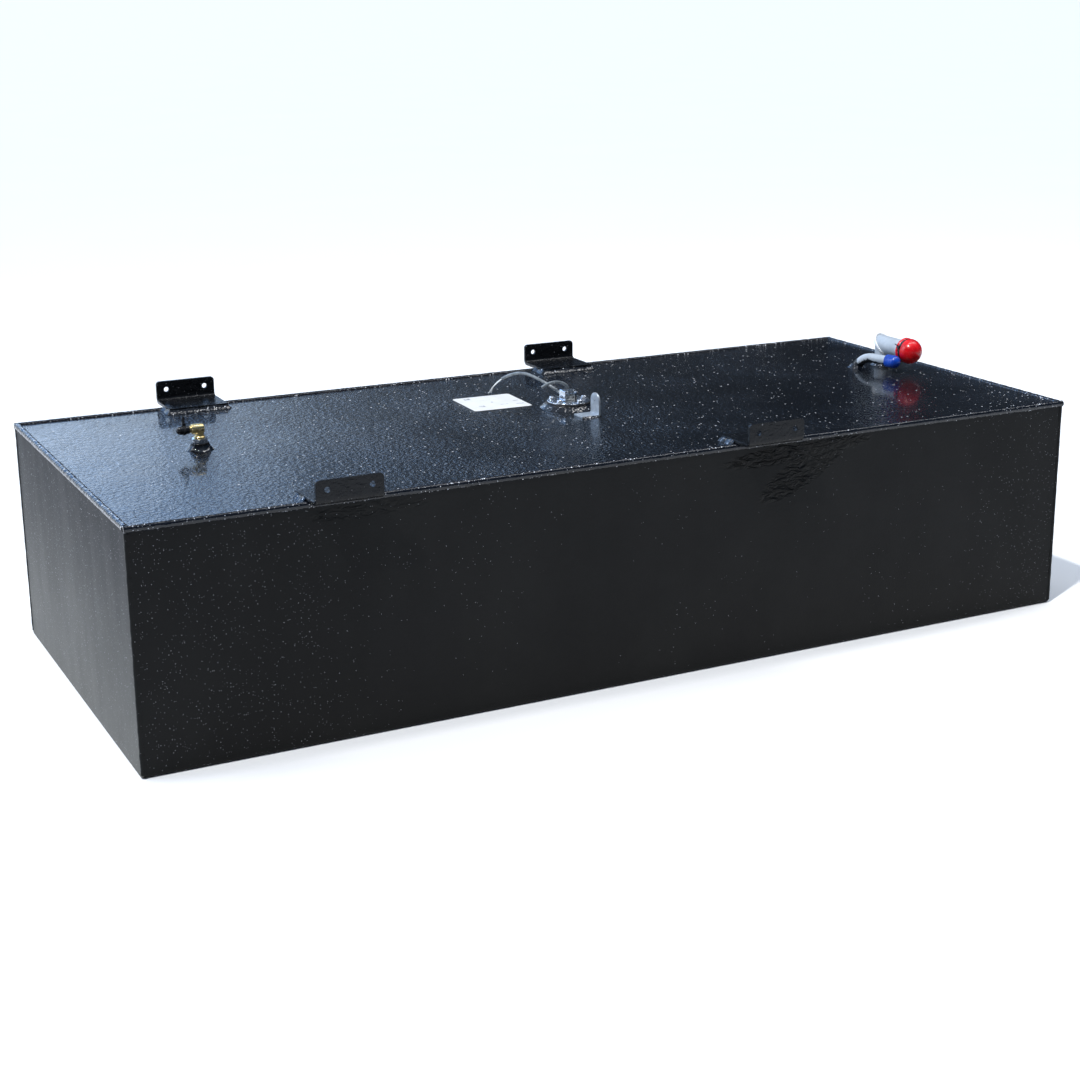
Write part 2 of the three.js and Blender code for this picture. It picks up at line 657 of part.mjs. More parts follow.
function filler() {
  const group = new THREE.Group();
  const { radius, bore } = PIPE_1_INCH;
  const { axis, reach, below } = FILLER;
  const stub = cut(ring(bore, radius, -below, axis + 2 * radius, SIDES.large), mitreCutter(1));
  const arm = cut(
    ring(bore, radius, -2 * radius, reach, SIDES.large).rotateX(Math.PI / 2).translate(0, 0, axis),
    mitreCutter(-1),
  );
  const bead = new THREE.TorusGeometry(radius, 2.2, 6, SIDES.large)
    .scale(1, Math.SQRT2, 1)
    .rotateX(Math.PI / 4)
    .translate(0, 0, axis);
  const mitreWeld = cut(
    bead,
    rod(radius + GAP, -60, axis + 3 * radius, SIDES.large),
    rod(radius + GAP, -3 * radius, 60, SIDES.large).rotateX(Math.PI / 2).translate(0, 0, axis),
  );
  const wall = radius + GAP;
  const baseWeld = turned([
    [wall, GAP], [wall + 7, GAP], [wall + 2.6, 3.8], [wall, 7], [wall, GAP],
  ]);
  group.add(
    mesh("filler_stub", stub, MATERIAL.galvanised),
    mesh("filler_arm", arm, MATERIAL.galvanised),
    mesh("filler_mitre_weld", mitreWeld, MATERIAL.galvanised),
    mesh("filler_base_weld", baseWeld, MATERIAL.bead),
    fillerCap(),
  );
  group.position.set(FILLER.x, FILLER.y, TANK.height);
  return group;
}

// The red cap is drawn in to a neck where its tie grips it.
function fillerCap() {
  const group = new THREE.Group();
  const { radius, wall, neck, tieAt, rim } = FILLER_CAP;
  const skirt = [
    [radius - 0.5, rim + 3], [neck, tieAt - 2.6], [neck, tieAt + 2.6], [radius - 0.4, tieAt + 4.6],
  ];
  const lining = [
    [radius - wall - 0.5, tieAt + 4.6], [PIPE_1_INCH.radius + GAP + 0.3, tieAt + 2.2],
    [PIPE_1_INCH.radius + GAP + 0.3, tieAt - 2.2], [radius - wall - 0.5, rim + 3],
  ];
  group.add(
    mesh("filler_cap", pushCap(FILLER_CAP, SIDES.large, skirt, lining), MATERIAL.redCap),
    mesh("filler_cap_tie",
      cableTie(neck + GAP, tieAt, 4.6, 159, { length: 12, lean: -103 }), MATERIAL.tie),
  );
  group.rotation.x = Math.PI / 2;
  group.position.z = FILLER.axis;
  return group;
}

// ---- vent: heights are above the tank's top --------------------------------------------------

// The vent's centreline leaves the tank part way round its bend, and ends as a level arm.
function ventLine(endSteps) {
  const heading = radians(VENT.heading - 90);
  const leave = Math.acos(1 - VENT.axis / VENT.bend);
  const place = (along, z) => [along * Math.cos(heading), along * Math.sin(heading), z];
  const low = VENT.axis - VENT.bend;
  const back = VENT.bend * (Math.sin(leave) - 1);
  const points = [place(back, low - VENT.below), place(back, low - VENT.below / 2)];
  const steps = 10;
  for (let i = 0; i <= steps; i++) {
    const angle = (Math.PI / 2) * (1 - i / steps);
    points.push(place(
      VENT.bend * (Math.sin(leave) - Math.sin(angle)),
      VENT.axis - VENT.bend * (1 - Math.cos(angle)),
    ));
  }
  const bendEnd = VENT.bend * Math.sin(leave);
  for (let i = 1; i <= endSteps; i++)
    points.push(place(bendEnd + ((VENT.reach - bendEnd) * i) / endSteps, VENT.axis));
  return points;
}

// A bar along the vent's line that runs past both its ends by more.
function ventBar(radius, more) {
  const points = ventLine(3);
  const first = points[0];
  const last = points.at(-1);
  const before = points.at(-2);
  const step = Math.hypot(last[0] - before[0], last[1] - before[1]);
  if (more > 0) {
    points.unshift([first[0], first[1], first[2] - more]);
    points.push(last.map((value, i) => value + ((value - before[i]) * more) / step));
  }
  return swept(points, radius, SIDES.small, 20);
}

function vent() {
  const group = new THREE.Group();
  const { radius, bore } = PIPE_3_8_INCH;
  const weldCone = turned([
    [0, GAP], [17, GAP], [12.6, 4.2], [10.6, 7.4], [0, 8],
  ], SIDES.medium);
  const cap = mesh("vent_cap", pushCap(VENT_CAP, SIDES.medium), MATERIAL.blueCap);
  cap.rotation.set(Math.PI / 2, 0, radians(VENT.heading), "ZYX");
  cap.position.z = VENT.axis;
  group.add(
    mesh("vent_pipe", cut(ventBar(radius, 0), ventBar(bore, 5)), MATERIAL.galvanised),
    mesh("vent_base_weld", cut(weldCone, ventBar(radius + GAP, 0)), MATERIAL.bead),
    cap,
  );
  group.position.set(VENT.x, VENT.y, TANK.height);
  return group;
}

// ---- the whole reservoir ---------------------------------------------------------------------

const reservoir = new THREE.Group();
reservoir.add(
  shell(), brackets(), label(), outlet(), levelSender(), stemAndFloat(), leads(), earthTab(),
  filler(), vent(),
);

export default reservoir;
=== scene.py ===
import json
import math

import bmesh
import bpy
from mathutils import Matrix, Vector, noise


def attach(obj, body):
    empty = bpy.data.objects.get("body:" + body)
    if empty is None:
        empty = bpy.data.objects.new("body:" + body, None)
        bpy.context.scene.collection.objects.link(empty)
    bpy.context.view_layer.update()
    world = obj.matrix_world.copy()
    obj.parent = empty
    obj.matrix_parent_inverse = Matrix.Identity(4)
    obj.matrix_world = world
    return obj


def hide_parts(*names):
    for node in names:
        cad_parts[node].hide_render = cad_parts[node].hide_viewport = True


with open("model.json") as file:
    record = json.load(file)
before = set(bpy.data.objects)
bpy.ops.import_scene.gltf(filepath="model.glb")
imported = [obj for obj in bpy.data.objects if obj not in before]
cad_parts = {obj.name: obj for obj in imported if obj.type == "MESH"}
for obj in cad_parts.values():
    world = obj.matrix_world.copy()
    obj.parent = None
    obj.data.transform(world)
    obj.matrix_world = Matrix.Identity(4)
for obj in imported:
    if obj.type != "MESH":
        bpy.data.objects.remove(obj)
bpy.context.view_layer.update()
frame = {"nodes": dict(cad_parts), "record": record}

# Lengths in the geometry below are millimetres in the row frame. build() turns them into metres.
TOP = 356.0
HALF_LENGTH, HALF_WIDTH = 800.0, 343.0

LABEL_AT, LABEL_TURN, LABEL_HALF = (-49, 122), -2, 52.5
# Blank printed fields: where each one's middle is on the label, and its width and depth.
LABEL_FIELDS = (
    (-30.5, 39.5, 11, 12), (-28, -23, 10, 9), (0, 1, 3, 5), (14, -22, 15, 3), (42, -3, 10, 4),
    (40, -28, 14, 4), (8, 43, 40, 0.8), (-8, 20, 60, 0.6),
)


def polar(radius, degrees):
    return radius * math.cos(math.radians(degrees)), radius * math.sin(math.radians(degrees))


def placed(name, data):
    made = bpy.data.objects.new(name, data)
    bpy.context.scene.collection.objects.link(made)
    return made


def meshed(name, points, faces, reach):
    """A mesh whose points within reach of each other are one, and whose faces look outward."""
    mesh = bpy.data.meshes.new(name)
    mesh.from_pydata(points, [], faces)
    bm = bmesh.new()
    bm.from_mesh(mesh)
    bmesh.ops.remove_doubles(bm, verts=bm.verts, dist=reach)
    bmesh.ops.recalc_face_normals(bm, faces=bm.faces)
    bm.to_mesh(mesh)
    bm.free()
    return mesh


# ---- camera ----

CAMERA_AT = (-1.3674, -2.7113, 1.0429)
CAMERA_HEADING, CAMERA_DIP, CAMERA_ROLL = -27.905, 15.732, -0.172


def make_camera():
    data = bpy.data.cameras.new("Camera")
    data.sensor_width = 36
    data.lens = 62.415
    data.shift_x, data.shift_y = -0.0434, -0.0268
    data.clip_start, data.clip_end = 0.05, 900
    camera = placed("Camera", data)
    a, e, roll = (math.radians(v) for v in (CAMERA_HEADING, CAMERA_DIP, CAMERA_ROLL))
    back = Vector((math.sin(a) * math.cos(e), -math.cos(a) * math.cos(e), math.sin(e)))
    right = Vector((math.cos(a), math.sin(a), 0))
    up = back.cross(right)
    c, s = math.cos(roll), math.sin(roll)
    right, up = right * c + up * s, up * c - right * s
    turn = Matrix((right, up, back)).transposed()
    camera.matrix_world = Matrix.Translation(CAMERA_AT) @ turn.to_4x4()
    bpy.context.scene.camera = camera


make_camera()


# ---- node graphs ----

class Graph:
    """A few one-line makers of shader nodes. Lengths in textures are metres."""

    def __init__(self, tree):
        self.tree = tree
        self.place = None

    def node(self, kind, inputs=None, **settings):
        made = self.tree.nodes.new("ShaderNode" + kind)
        for key, value in settings.items():
            setattr(made, key, value)
        for key, value in (inputs or {}).items():
            self.set(made, key, value)
        return made

    def set(self, node, key, value):
        socket = node.inputs[key]
        if isinstance(value, bpy.types.NodeSocket):
            self.tree.links.new(value, socket)
        else:
            socket.default_value = value

    def where(self):
        if self.place is None:
            self.place = self.node("TexCoord").outputs["Object"]
        return self.place

    def axes(self):
        made = self.node("SeparateXYZ", {0: self.where()})
        return made.outputs[0], made.outputs[1], made.outputs[2]

    def stretched(self, scale, turn=(0, 0, 0)):
        return self.node("Mapping", {"Vector": self.where(), "Scale": scale, "Rotation": turn}).outputs[0]

    def noise(self, scale, detail=2.0, roughness=0.5, vector=None, distortion=0.0):
        return self.node("TexNoise", {"Vector": vector or self.where(), "Scale": scale, "Detail": detail,
                                      "Roughness": roughness, "Distortion": distortion}).outputs[0]

    def cells(self, scale):
        made = self.node("TexVoronoi", {"Vector": self.where(), "Scale": scale})
        return made.outputs["Distance"], made.outputs["Color"]

    def math(self, operation, a, b=0.0):
        return self.node("Math", {0: a, 1: b}, operation=operation).outputs[0]

    def plus(self, a, b):
        return self.math("ADD", a, b)

    def minus(self, a, b):
        return self.math("SUBTRACT", a, b)

    def times(self, a, b):
        return self.math("MULTIPLY", a, b)

    def most(self, a, b):
        return self.math("MAXIMUM", a, b)

    def span(self, value, low, high, to_low=0.0, to_high=1.0, smooth=True):
        inputs = {"Value": value, "From Min": low, "From Max": high, "To Min": to_low, "To Max": to_high}
        return self.node("MapRange", inputs, interpolation_type="SMOOTHSTEP" if smooth else "LINEAR").outputs[0]

    def cloudy(self, scale, low=0.0, high=1.0):
        """Soft blotches between two values."""
        return self.span(self.noise(scale, 3, 0.6), 0.3, 0.7, low, high)

    def mix(self, share, a, b):
        made = self.node("Mix", {0: share}, data_type="RGBA")
        for index, value in ((6, a), (7, b)):
            self.set(made, index, value if isinstance(value, bpy.types.NodeSocket) else (*value, 1.0))
        return made.outputs[2]

    def ramp(self, value, stops):
        made = self.node("ValToRGB", {0: value})
        points = made.color_ramp.elements
        while len(points) < len(stops):
            points.new(0.5)
        for point, (position, colour) in zip(points, stops):
            point.position = position
            point.color = (*colour, 1.0) if hasattr(colour, "__len__") else (colour, colour, colour, 1.0)
        return made.outputs[0]

    def relief(self, *layers):
        """Bumps of (height, strength, distance), each laid over the one before it."""
        normal = None
        for height, strength, distance in layers:
            inputs = {"Height": height, "Strength": strength, "Distance": distance}
            if normal is not None:
                inputs["Normal"] = normal
            normal = self.node("Bump", inputs).outputs[0]
        return normal

    def paint(self, colour, roughness, normal):
        for key, value in (("Base Color", colour), ("Roughness", roughness), ("Normal", normal)):
            self.set(self.shader, key, value)
        return self.material


def material(name, **constants):
    made = bpy.data.materials.new(name)
    made.use_nodes = True
    g = Graph(made.node_tree)
    g.shader = made.node_tree.nodes["Principled BSDF"]
    for key, value in constants.items():
        key = key.replace("_", " ").title().replace("Ior", "IOR")
        g.shader.inputs[key].default_value = (*value, 1.0) if isinstance(value, tuple) else value
    g.material = made
    return g


def flecks(g, scale, size, share, region=None):
    """Small specks of random size and strength, in the cells whose random number is under share."""
    distance, colour = g.cells(scale)
    parts = g.node("SeparateColor", {0: colour}).outputs
    dot = g.math("LESS_THAN", distance, g.times(parts[1], size))
    kept = g.math("LESS_THAN", parts[0], share if region is None else g.times(region, share))
    strength = g.plus(g.times(g.math("POWER", parts[2], 1.6), 0.85), 0.15)
    return g.times(g.times(dot, kept), strength)


def gloss_paint():
    """Thick gloss enamel over steel plate: orange peel, slow waves of the plate, and pale specks that are dust and
    painted glints.
    """
    g = material("gloss_black_paint", roughness=0.16, specular_ior_level=0.5, coat_weight=0.35,
                 coat_roughness=0.08)
    x = g.axes()[0]
    patchy = g.noise(6, 2, 0.5)
    # Pale specks, more of them towards +x: dust together with painted glints of the sun on the orange peel.
    dust_and_glint_share = g.span(x, -0.65, 0.0, 0.25, 1.0)
    specks = g.most(flecks(g, 72, 0.125, 0.27, dust_and_glint_share), flecks(g, 160, 0.23, 0.34, dust_and_glint_share))
    black = g.mix(g.span(patchy, 0.35, 0.7), (0.002, 0.0026, 0.004), (0.0045, 0.0055, 0.008))
    rough = g.plus(g.span(g.noise(38, 3, 0.6), 0.3, 0.75, 0.11, 0.2), g.times(specks, 0.3))
    normal = g.relief(
        (g.noise(3.3, 1.5, 0.45), 0.9, 0.022),
        (g.noise(13, 1.0, 0.4), 0.35, 0.004),
        (g.noise(190, 2.0, 0.5), g.span(patchy, 0.32, 0.68, 0.4, 0.85), 0.0034),
        (g.noise(105, 2.5, 0.6), g.span(x, 0.1, -0.4, 0.4, 0.6), 0.0045),
        (g.noise(520, 1.5, 0.5), 0.4, 0.0011),
        (specks, 0.5, 0.0005),
    )
    return g.paint(g.mix(specks, black, (0.8, 0.81, 0.83)), rough, normal)


def sag(g, middle_x, middle_z, long, wide, turn):
    """1 inside a tilted oval of the wall, where the paint is thick, and 0 outside."""
    x, _, z = g.axes()
    c, s = polar(1, turn)
    dx, dz = g.minus(x, middle_x), g.minus(z, middle_z)
    u = g.math("DIVIDE", g.plus(g.times(dx, c), g.times(dz, s)), long)
    v = g.math("DIVIDE", g.minus(g.times(dz, c), g.times(dx, s)), wide)
    return g.span(g.plus(g.times(u, u), g.times(v, v)), 1.1, 0.6)


def wall_paint(name, dusty_floor_lit=False):
    """The same enamel, put on thinner by spray on upright sheet: satin, with dry spray bands and runs. For the end
    plates, a duller dusty coat whose base gets lighter towards the bottom: a painted reflection of the bright
    floor.
    """
    g = material(name, roughness=0.45, specular_ior_level=0.08 if dusty_floor_lit else 0.14, coat_weight=0.0)
    x, y, z = g.axes()
    ends = g.most(g.span(x, -0.36, -0.6), g.span(x, 0.56, 0.76))
    drift = g.span(g.noise(5.5, 4, 0.65), 0.44, 0.64)
    bands = g.plus(g.times(ends, 0.8), g.times(drift, 0.22))
    grit = g.most(flecks(g, 360, 0.3, 0.36, bands), flecks(g, 125, 0.11, 0.14, bands))
    # One pass of the gun stopped short, which leaves a slightly glossier upright patch.
    patch = g.times(g.times(g.span(x, -0.47, -0.455), g.span(x, -0.31, -0.335)), g.span(z, 0.2, 0.17))
    if dusty_floor_lit:
        # Painted reflection of the bright floor: the base goes from near black at the top to lighter grey at the
        # bottom.
        level = g.plus(z, g.times(g.minus(g.noise(6, 4, 0.6), 0.5), 0.12))
        base = g.mix(g.span(level, 0.37, 0.0), (0.002, 0.003, 0.005), (0.1, 0.098, 0.088))
        stain = g.span(g.noise(26, 4, 0.65, g.stretched((1, 1, 0.6))), 0.35, 0.7, 0.0, 0.12)
        base = g.mix(stain, base, (0.012, 0.012, 0.012))
    else:
        cloud = g.span(g.noise(5, 4, 0.6), 0.3, 0.75)
        base = g.mix(cloud, (0.0042, 0.0044, 0.0043), (0.0075, 0.0077, 0.0074))
        base = g.mix(g.times(patch, 0.5), base, (0.0028, 0.003, 0.0032))
    streaks = g.span(g.noise(24, 3, 0.6, g.stretched((1, 1, 0.12))), 0.3, 0.7, 0.4, 0.45)
    rough = g.minus(g.plus(streaks, g.times(bands, 0.05)), g.times(patch, 0.08))
    # Sags and wrinkles where the paint went on thick under the two front brackets.
    thick = g.most(sag(g, 0.272, 0.302, 0.09, 0.027, 26), sag(g, 0.262, 0.335, 0.145, 0.017, 3))
    thick = g.most(thick, g.times(sag(g, -0.46, 0.337, 0.1, 0.012, 0), 0.35))
    thick = g.times(thick, g.math("LESS_THAN", y, -0.3))
    folds = g.noise(80, 3, 0.6, g.stretched((0.6, 1, 1.4), (0, math.radians(24), 0)), 0.7)
    normal = g.relief((g.noise(330, 3, 0.6), 0.22, 0.0012), (g.noise(4, 1.5, 0.5), 0.35, 0.006),
                      (folds, thick, 0.013), (grit, 0.4, 0.0004))
    return g.paint(g.mix(grit, base, (0.46, 0.47, 0.5)), rough, normal)


def weld_paint():
    """Wet-looking gloss over a bead, with pale flecks in drifts that are painted glints."""
    g = material("painted_weld", roughness=0.1, specular_ior_level=0.45, coat_weight=0.0)
    # Pale flecks in drifts along the bead are painted glints, standing in for the sun's sparkle.
    painted_glints = flecks(g, 300, 0.4, 0.75, g.span(g.noise(13, 2, 0.5), 0.4, 0.62, 0.25, 1.0))
    black = g.mix(g.noise(60, 3, 0.6), (0.0025, 0.0035, 0.006), (0.006, 0.008, 0.012))
    return g.paint(g.mix(painted_glints, black, (0.9, 0.93, 1.0)),
                   g.span(g.noise(140, 2, 0.6), 0.3, 0.75, 0.02, 0.06),
                   g.relief((g.noise(120, 1.5, 0.5), 0.5, 0.0022)))


def bracket_paint():
    g = material("bracket_paint", roughness=0.16, specular_ior_level=0.22, coat_weight=0.0)
    spots = g.most(flecks(g, 210, 0.24, 0.1), flecks(g, 420, 0.3, 0.12))
    runs = g.noise(120, 3, 0.6, g.stretched((0.7, 1, 1.2)), 0.6)
    black = g.mix(g.noise(30, 3, 0.6), (0.0025, 0.003, 0.0042), (0.006, 0.0068, 0.008))
    return g.paint(g.mix(spots, black, (0.5, 0.52, 0.55)), g.cloudy(60, 0.14, 0.32),
                   g.relief((g.noise(330, 2, 0.5), 0.3, 0.0012), (runs, 0.4, 0.003)))


def mitre_weld():
    g = material("mitre_weld", roughness=0.35, specular_ior_level=0.5, metallic=0.3)
    return g.paint(g.mix(g.noise(160, 3, 0.6), (0.62, 0.65, 0.67), (0.9, 0.91, 0.91)),
                   g.cloudy(300, 0.25, 0.45), g.relief((g.noise(600, 2, 0.5), 0.2, 0.0005)))


def tab_plate():
    g = material("tab_plate", roughness=0.4, metallic=0.55, specular_ior_level=0.5)
    return g.paint(g.mix(g.cloudy(90), (0.34, 0.38, 0.42), (0.5, 0.55, 0.6)),
                   g.cloudy(200, 0.3, 0.5), g.relief((g.noise(500, 2, 0.5), 0.15, 0.0004)))


def metal(name, colour, dark, rough, grain, scale):
    """Plated or rolled metal: blotches, and drawn lines whose strength is grain."""
    g = material(name, metallic=1.0, roughness=0.3)
    lines = g.noise(scale * 6, 2, 0.6, g.stretched((1, 1, 0.08)))
    blotch = g.noise(scale, 3, 0.6)
    return g.paint(g.mix(g.span(blotch, 0.35, 0.72), dark, colour),
                   g.plus(g.span(blotch, 0.3, 0.75, *rough), g.times(lines, 0.08 * grain)),
                   g.relief((lines, 0.12 * grain, 0.0003)))


def cast_brass():
    g = material("brass", metallic=1.0, roughness=0.28)
    stain = g.noise(120, 3, 0.6)
    return g.paint(g.mix(g.span(stain, 0.3, 0.7), (0.52, 0.4, 0.17), (0.86, 0.7, 0.37)),
                   g.span(stain, 0.3, 0.7, 0.38, 0.2), g.relief((g.noise(700, 2, 0.6), 0.16, 0.0004)))


def pipe_paint():
    """Grey primed pipe with black overspray low down and underneath, where it was masked badly; the black
    underneath is also painted shade.
    """
    g = material("grey_pipe", roughness=0.4, specular_ior_level=0.5, coat_weight=0.15, coat_roughness=0.2)
    x, _, z = g.axes()
    facing = g.node("SeparateXYZ", {0: g.node("NewGeometry").outputs["Normal"]}).outputs[2]
    ragged = g.minus(g.noise(85, 4, 0.65), 0.5)
    low = g.plus(g.span(z, 0.3785, 0.3665, smooth=False), g.times(ragged, 1.7))
    # Black on the downward-facing side: overspray, together with painted shade of the underside.
    under = g.plus(g.span(facing, -0.2, -0.75, smooth=False), g.times(ragged, 2.2))
    on_vent = g.times(g.span(g.plus(low, g.times(under, 1.3)), 0.58, 0.74), g.span(x, 0.7115, 0.7085))
    at_foot = g.span(g.plus(g.span(z, 0.366, 0.3615), ragged), 0.5, 0.7)
    overspray_and_shade = g.most(on_vent, at_foot)
    grey = g.mix(g.span(g.noise(40, 4, 0.6), 0.3, 0.75), (0.33, 0.375, 0.42), (0.44, 0.485, 0.53))
    grey = g.mix(g.times(flecks(g, 300, 0.22, 0.1), 0.7), grey, (0.16, 0.17, 0.19))
    return g.paint(g.mix(overspray_and_shade, grey, (0.008, 0.01, 0.013)),
                   g.minus(g.cloudy(180, 0.34, 0.48), g.times(overspray_and_shade, 0.2)),
                   g.relief((g.noise(500, 2, 0.5), 0.12, 0.0005), (overspray_and_shade, 0.3, 0.0006)))


def vinyl(name, colour, deep, rough=(0.2, 0.34)):
    """Dipped soft vinyl: glossy, with slow sags, dust and rub marks."""
    g = material(name, roughness=0.26, specular_ior_level=0.4, coat_weight=0.08, coat_roughness=0.12)
    cloud = g.noise(55, 3, 0.55)
    base = g.mix(g.span(cloud, 0.3, 0.72), deep, colour)
    return g.paint(g.mix(g.times(flecks(g, 380, 0.2, 0.04), 0.35), base, (0.8, 0.78, 0.76)),
                   g.cloudy(150, *rough),
                   g.relief((g.noise(420, 2, 0.5), 0.08, 0.0005), (cloud, 0.1, 0.003)))


def plastic(name, colour, deep, rough=(0.3, 0.45), grain=300):
    g = material(name, roughness=0.4, specular_ior_level=0.45)
    return g.paint(g.mix(g.cloudy(grain / 4), deep, colour), g.cloudy(grain, *rough),
                   g.relief((g.noise(grain * 2, 2, 0.5), 0.12, 0.0004)))


def label_print():
    """A white printed label: blank fields in pale grey, with a slight emboss."""
    g = material("data_label", roughness=0.42, specular_ior_level=0.45, coat_weight=0.25, coat_roughness=0.25)
    turn = math.radians(LABEL_TURN)
    flat = g.node("SeparateXYZ", {0: g.stretched((1, 1, 1), (0, 0, -turn))}).outputs
    x, y = LABEL_AT
    u = g.minus(flat[0], (x * math.cos(turn) + y * math.sin(turn)) / 1000)
    v = g.minus(flat[1], (y * math.cos(turn) - x * math.sin(turn)) / 1000)

    def between(value, middle, width):
        return g.times(g.math("GREATER_THAN", value, (middle - width / 2) / 1000),
                       g.math("LESS_THAN", value, (middle + width / 2) / 1000))

    printed = 0.0
    for middle_u, middle_v, wide, deep in LABEL_FIELDS:
        printed = g.most(printed, g.times(between(u, middle_u, wide), between(v, middle_v, deep)))
    worn = g.span(g.noise(260, 3, 0.6), 0.35, 0.6)
    grime = g.span(g.noise(18, 4, 0.6), 0.45, 0.8, 0.0, 0.35)
    paper = g.mix(grime, (0.76, 0.755, 0.735), (0.66, 0.66, 0.65))
    return g.paint(g.mix(g.times(g.times(printed, worn), 0.8), paper, (0.1, 0.11, 0.13)),
                   g.cloudy(60, 0.34, 0.5), g.relief((g.noise(30, 2, 0.5), 0.12, 0.0015)))


MATERIAL = {
    "gloss_black_paint": gloss_paint(),
    "satin_black_paint": wall_paint("satin_black_paint"),
    "end_paint": wall_paint("end_paint", True),
    "bracket_paint": bracket_paint(),
    "painted_weld": weld_paint(),
    "mitre_weld": mitre_weld(),
    "tab_plate": tab_plate(),
    "bare_steel": metal("bare_steel", (0.34, 0.35, 0.36), (0.16, 0.16, 0.17), (0.35, 0.6), 1.5, 30),
    "data_label": label_print(),
    "zinc_plate": metal("zinc_plate", (0.9, 0.92, 0.95), (0.66, 0.69, 0.73), (0.12, 0.26), 0.8, 120),
    "brass": cast_brass(),
    "stainless": metal("stainless", (0.66, 0.67, 0.69), (0.45, 0.46, 0.48), (0.2, 0.32), 1.0, 80),
    "nitrile": plastic("nitrile", (0.03, 0.03, 0.032), (0.012, 0.012, 0.013), (0.5, 0.75), 420),
    "terminal_plastic": plastic("terminal_plastic", (0.46, 0.47, 0.46), (0.34, 0.35, 0.34)),
    "lead_jacket": plastic("lead_jacket", (0.2, 0.225, 0.24), (0.12, 0.14, 0.155), (0.2, 0.32)),
    "wire_insulation": plastic("wire_insulation", (0.86, 0.87, 0.86), (0.68, 0.7, 0.7)),
    "grey_pipe": pipe_paint(),
    "red_vinyl": vinyl("red_vinyl", (0.78, 0.006, 0.012), (0.52, 0.003, 0.007)),
    "blue_vinyl": vinyl("blue_vinyl", (0.004, 0.07, 0.5), (0.003, 0.03, 0.26)),
    "black_vinyl": vinyl("black_vinyl", (0.012, 0.013, 0.015), (0.005, 0.005, 0.006), (0.12, 0.26)),
    "black_nylon": plastic("black_nylon", (0.012, 0.012, 0.013), (0.006, 0.006, 0.007), (0.25, 0.4)),
}


# ---- geometry: a shape is (points, faces) in millimetres ----

def arc(cx, cy, radius, start, end, steps=8):
    around = [polar(radius, start + (end - start) * i / steps) for i in range(steps + 1)]
    return [(cx + x, cy + y) for x, y in around]


def box(x0, y0, x1, y1):
    return [(x0, y0), (x1, y0), (x1, y1), (x0, y1)]


def turned(degrees, axis):
    return Matrix.Rotation(math.radians(degrees), 4, axis)


def shifted(x, y, z):
    return Matrix.Translation((x, y, z))


def rounded(points, radius, steps=5):
    """An outline with its corners turned into arcs. radius is one number, or one for each point."""
    count, out = len(points), []
    for i, p in enumerate(points):
        r = radius[i] if hasattr(radius, "__len__") else radius
        if r <= 0:
            out.append(p)
            continue
        here = Vector(p)
        a, b = Vector(points[i - 1]) - here, Vector(points[(i + 1) % count]) - here
        half = a.angle(b) / 2
        back = min(r / math.tan(half), a.length * 0.49, b.length * 0.49)
        start, end = here + a.normalized() * back, here + b.normalized() * back
        for k in range(steps + 1):
            t = k / steps
            out.append(tuple(start.lerp(here, t).lerp(here.lerp(end, t), t)))
    return out


def lathe(profile, sides=64):
    """A closed profile of (radius, height) turned about Z."""
    points, rings, faces = [], [], []
    for r, z in profile:
        if abs(r) < 1e-6:
            rings.append([len(points)] * sides)
            points.append((0, 0, z))
        else:
            rings.append(list(range(len(points), len(points) + sides)))
            angles = [2 * math.pi * i / sides for i in range(sides)]
            points += [(r * math.cos(a), r * math.sin(a), z) for a in angles]
    for a, b in zip(rings, rings[1:] + rings[:1]):
        for i in range(sides):
            j = (i + 1) % sides
            face = list(dict.fromkeys([a[i], a[j], b[j], b[i]]))
            if len(face) > 2:
                faces.append(face)
    return points, faces


def rod(radius, low, high, sides):
    return lathe([(0, low), (radius, low), (radius, high), (0, high)], sides)


def prism(outline, low, high, axis="z"):
    """A closed outline run along an axis. It is drawn in the other two axes, in the order x, y, z."""
    order = {"x": (2, 0, 1), "y": (0, 2, 1), "z": (0, 1, 2)}[axis]
    points = []
    for level in (low, high):
        for a, b in outline:
            values = (a, b, level)
            points.append(tuple(values[k] for k in order))
    count = len(outline)
    faces = [list(range(count)), list(range(count, 2 * count))]
    faces += [[i, (i + 1) % count, (i + 1) % count + count, i + count] for i in range(count)]
    return points, faces


def frames_along(line):
    """Side and up vectors carried along a line without twist."""
    tangents = [(after - before).normalized() for before, after in zip([line[0], *line], [*line[1:], line[-1]])]
    side, out = tangents[0].orthogonal().normalized(), []
    for t in tangents:
        side = (side - t * side.dot(t)).normalized()
        out.append((side, t.cross(side)))
    return out


def loft(rings, closed=False):
    """Joins rings of equal length into a skin, with flat ends unless it is closed."""
    size, faces = len(rings[0]), []
    points = [tuple(p) for ring in rings for p in ring]
    for i in range(len(rings) if closed else len(rings) - 1):
        j = (i + 1) % len(rings)
        for k in range(size):
            after = (k + 1) % size
            faces.append([i * size + k, i * size + after, j * size + after, j * size + k])
    if not closed:
        faces += [list(range(size)), list(range(len(points) - size, len(points)))]
    return points, faces


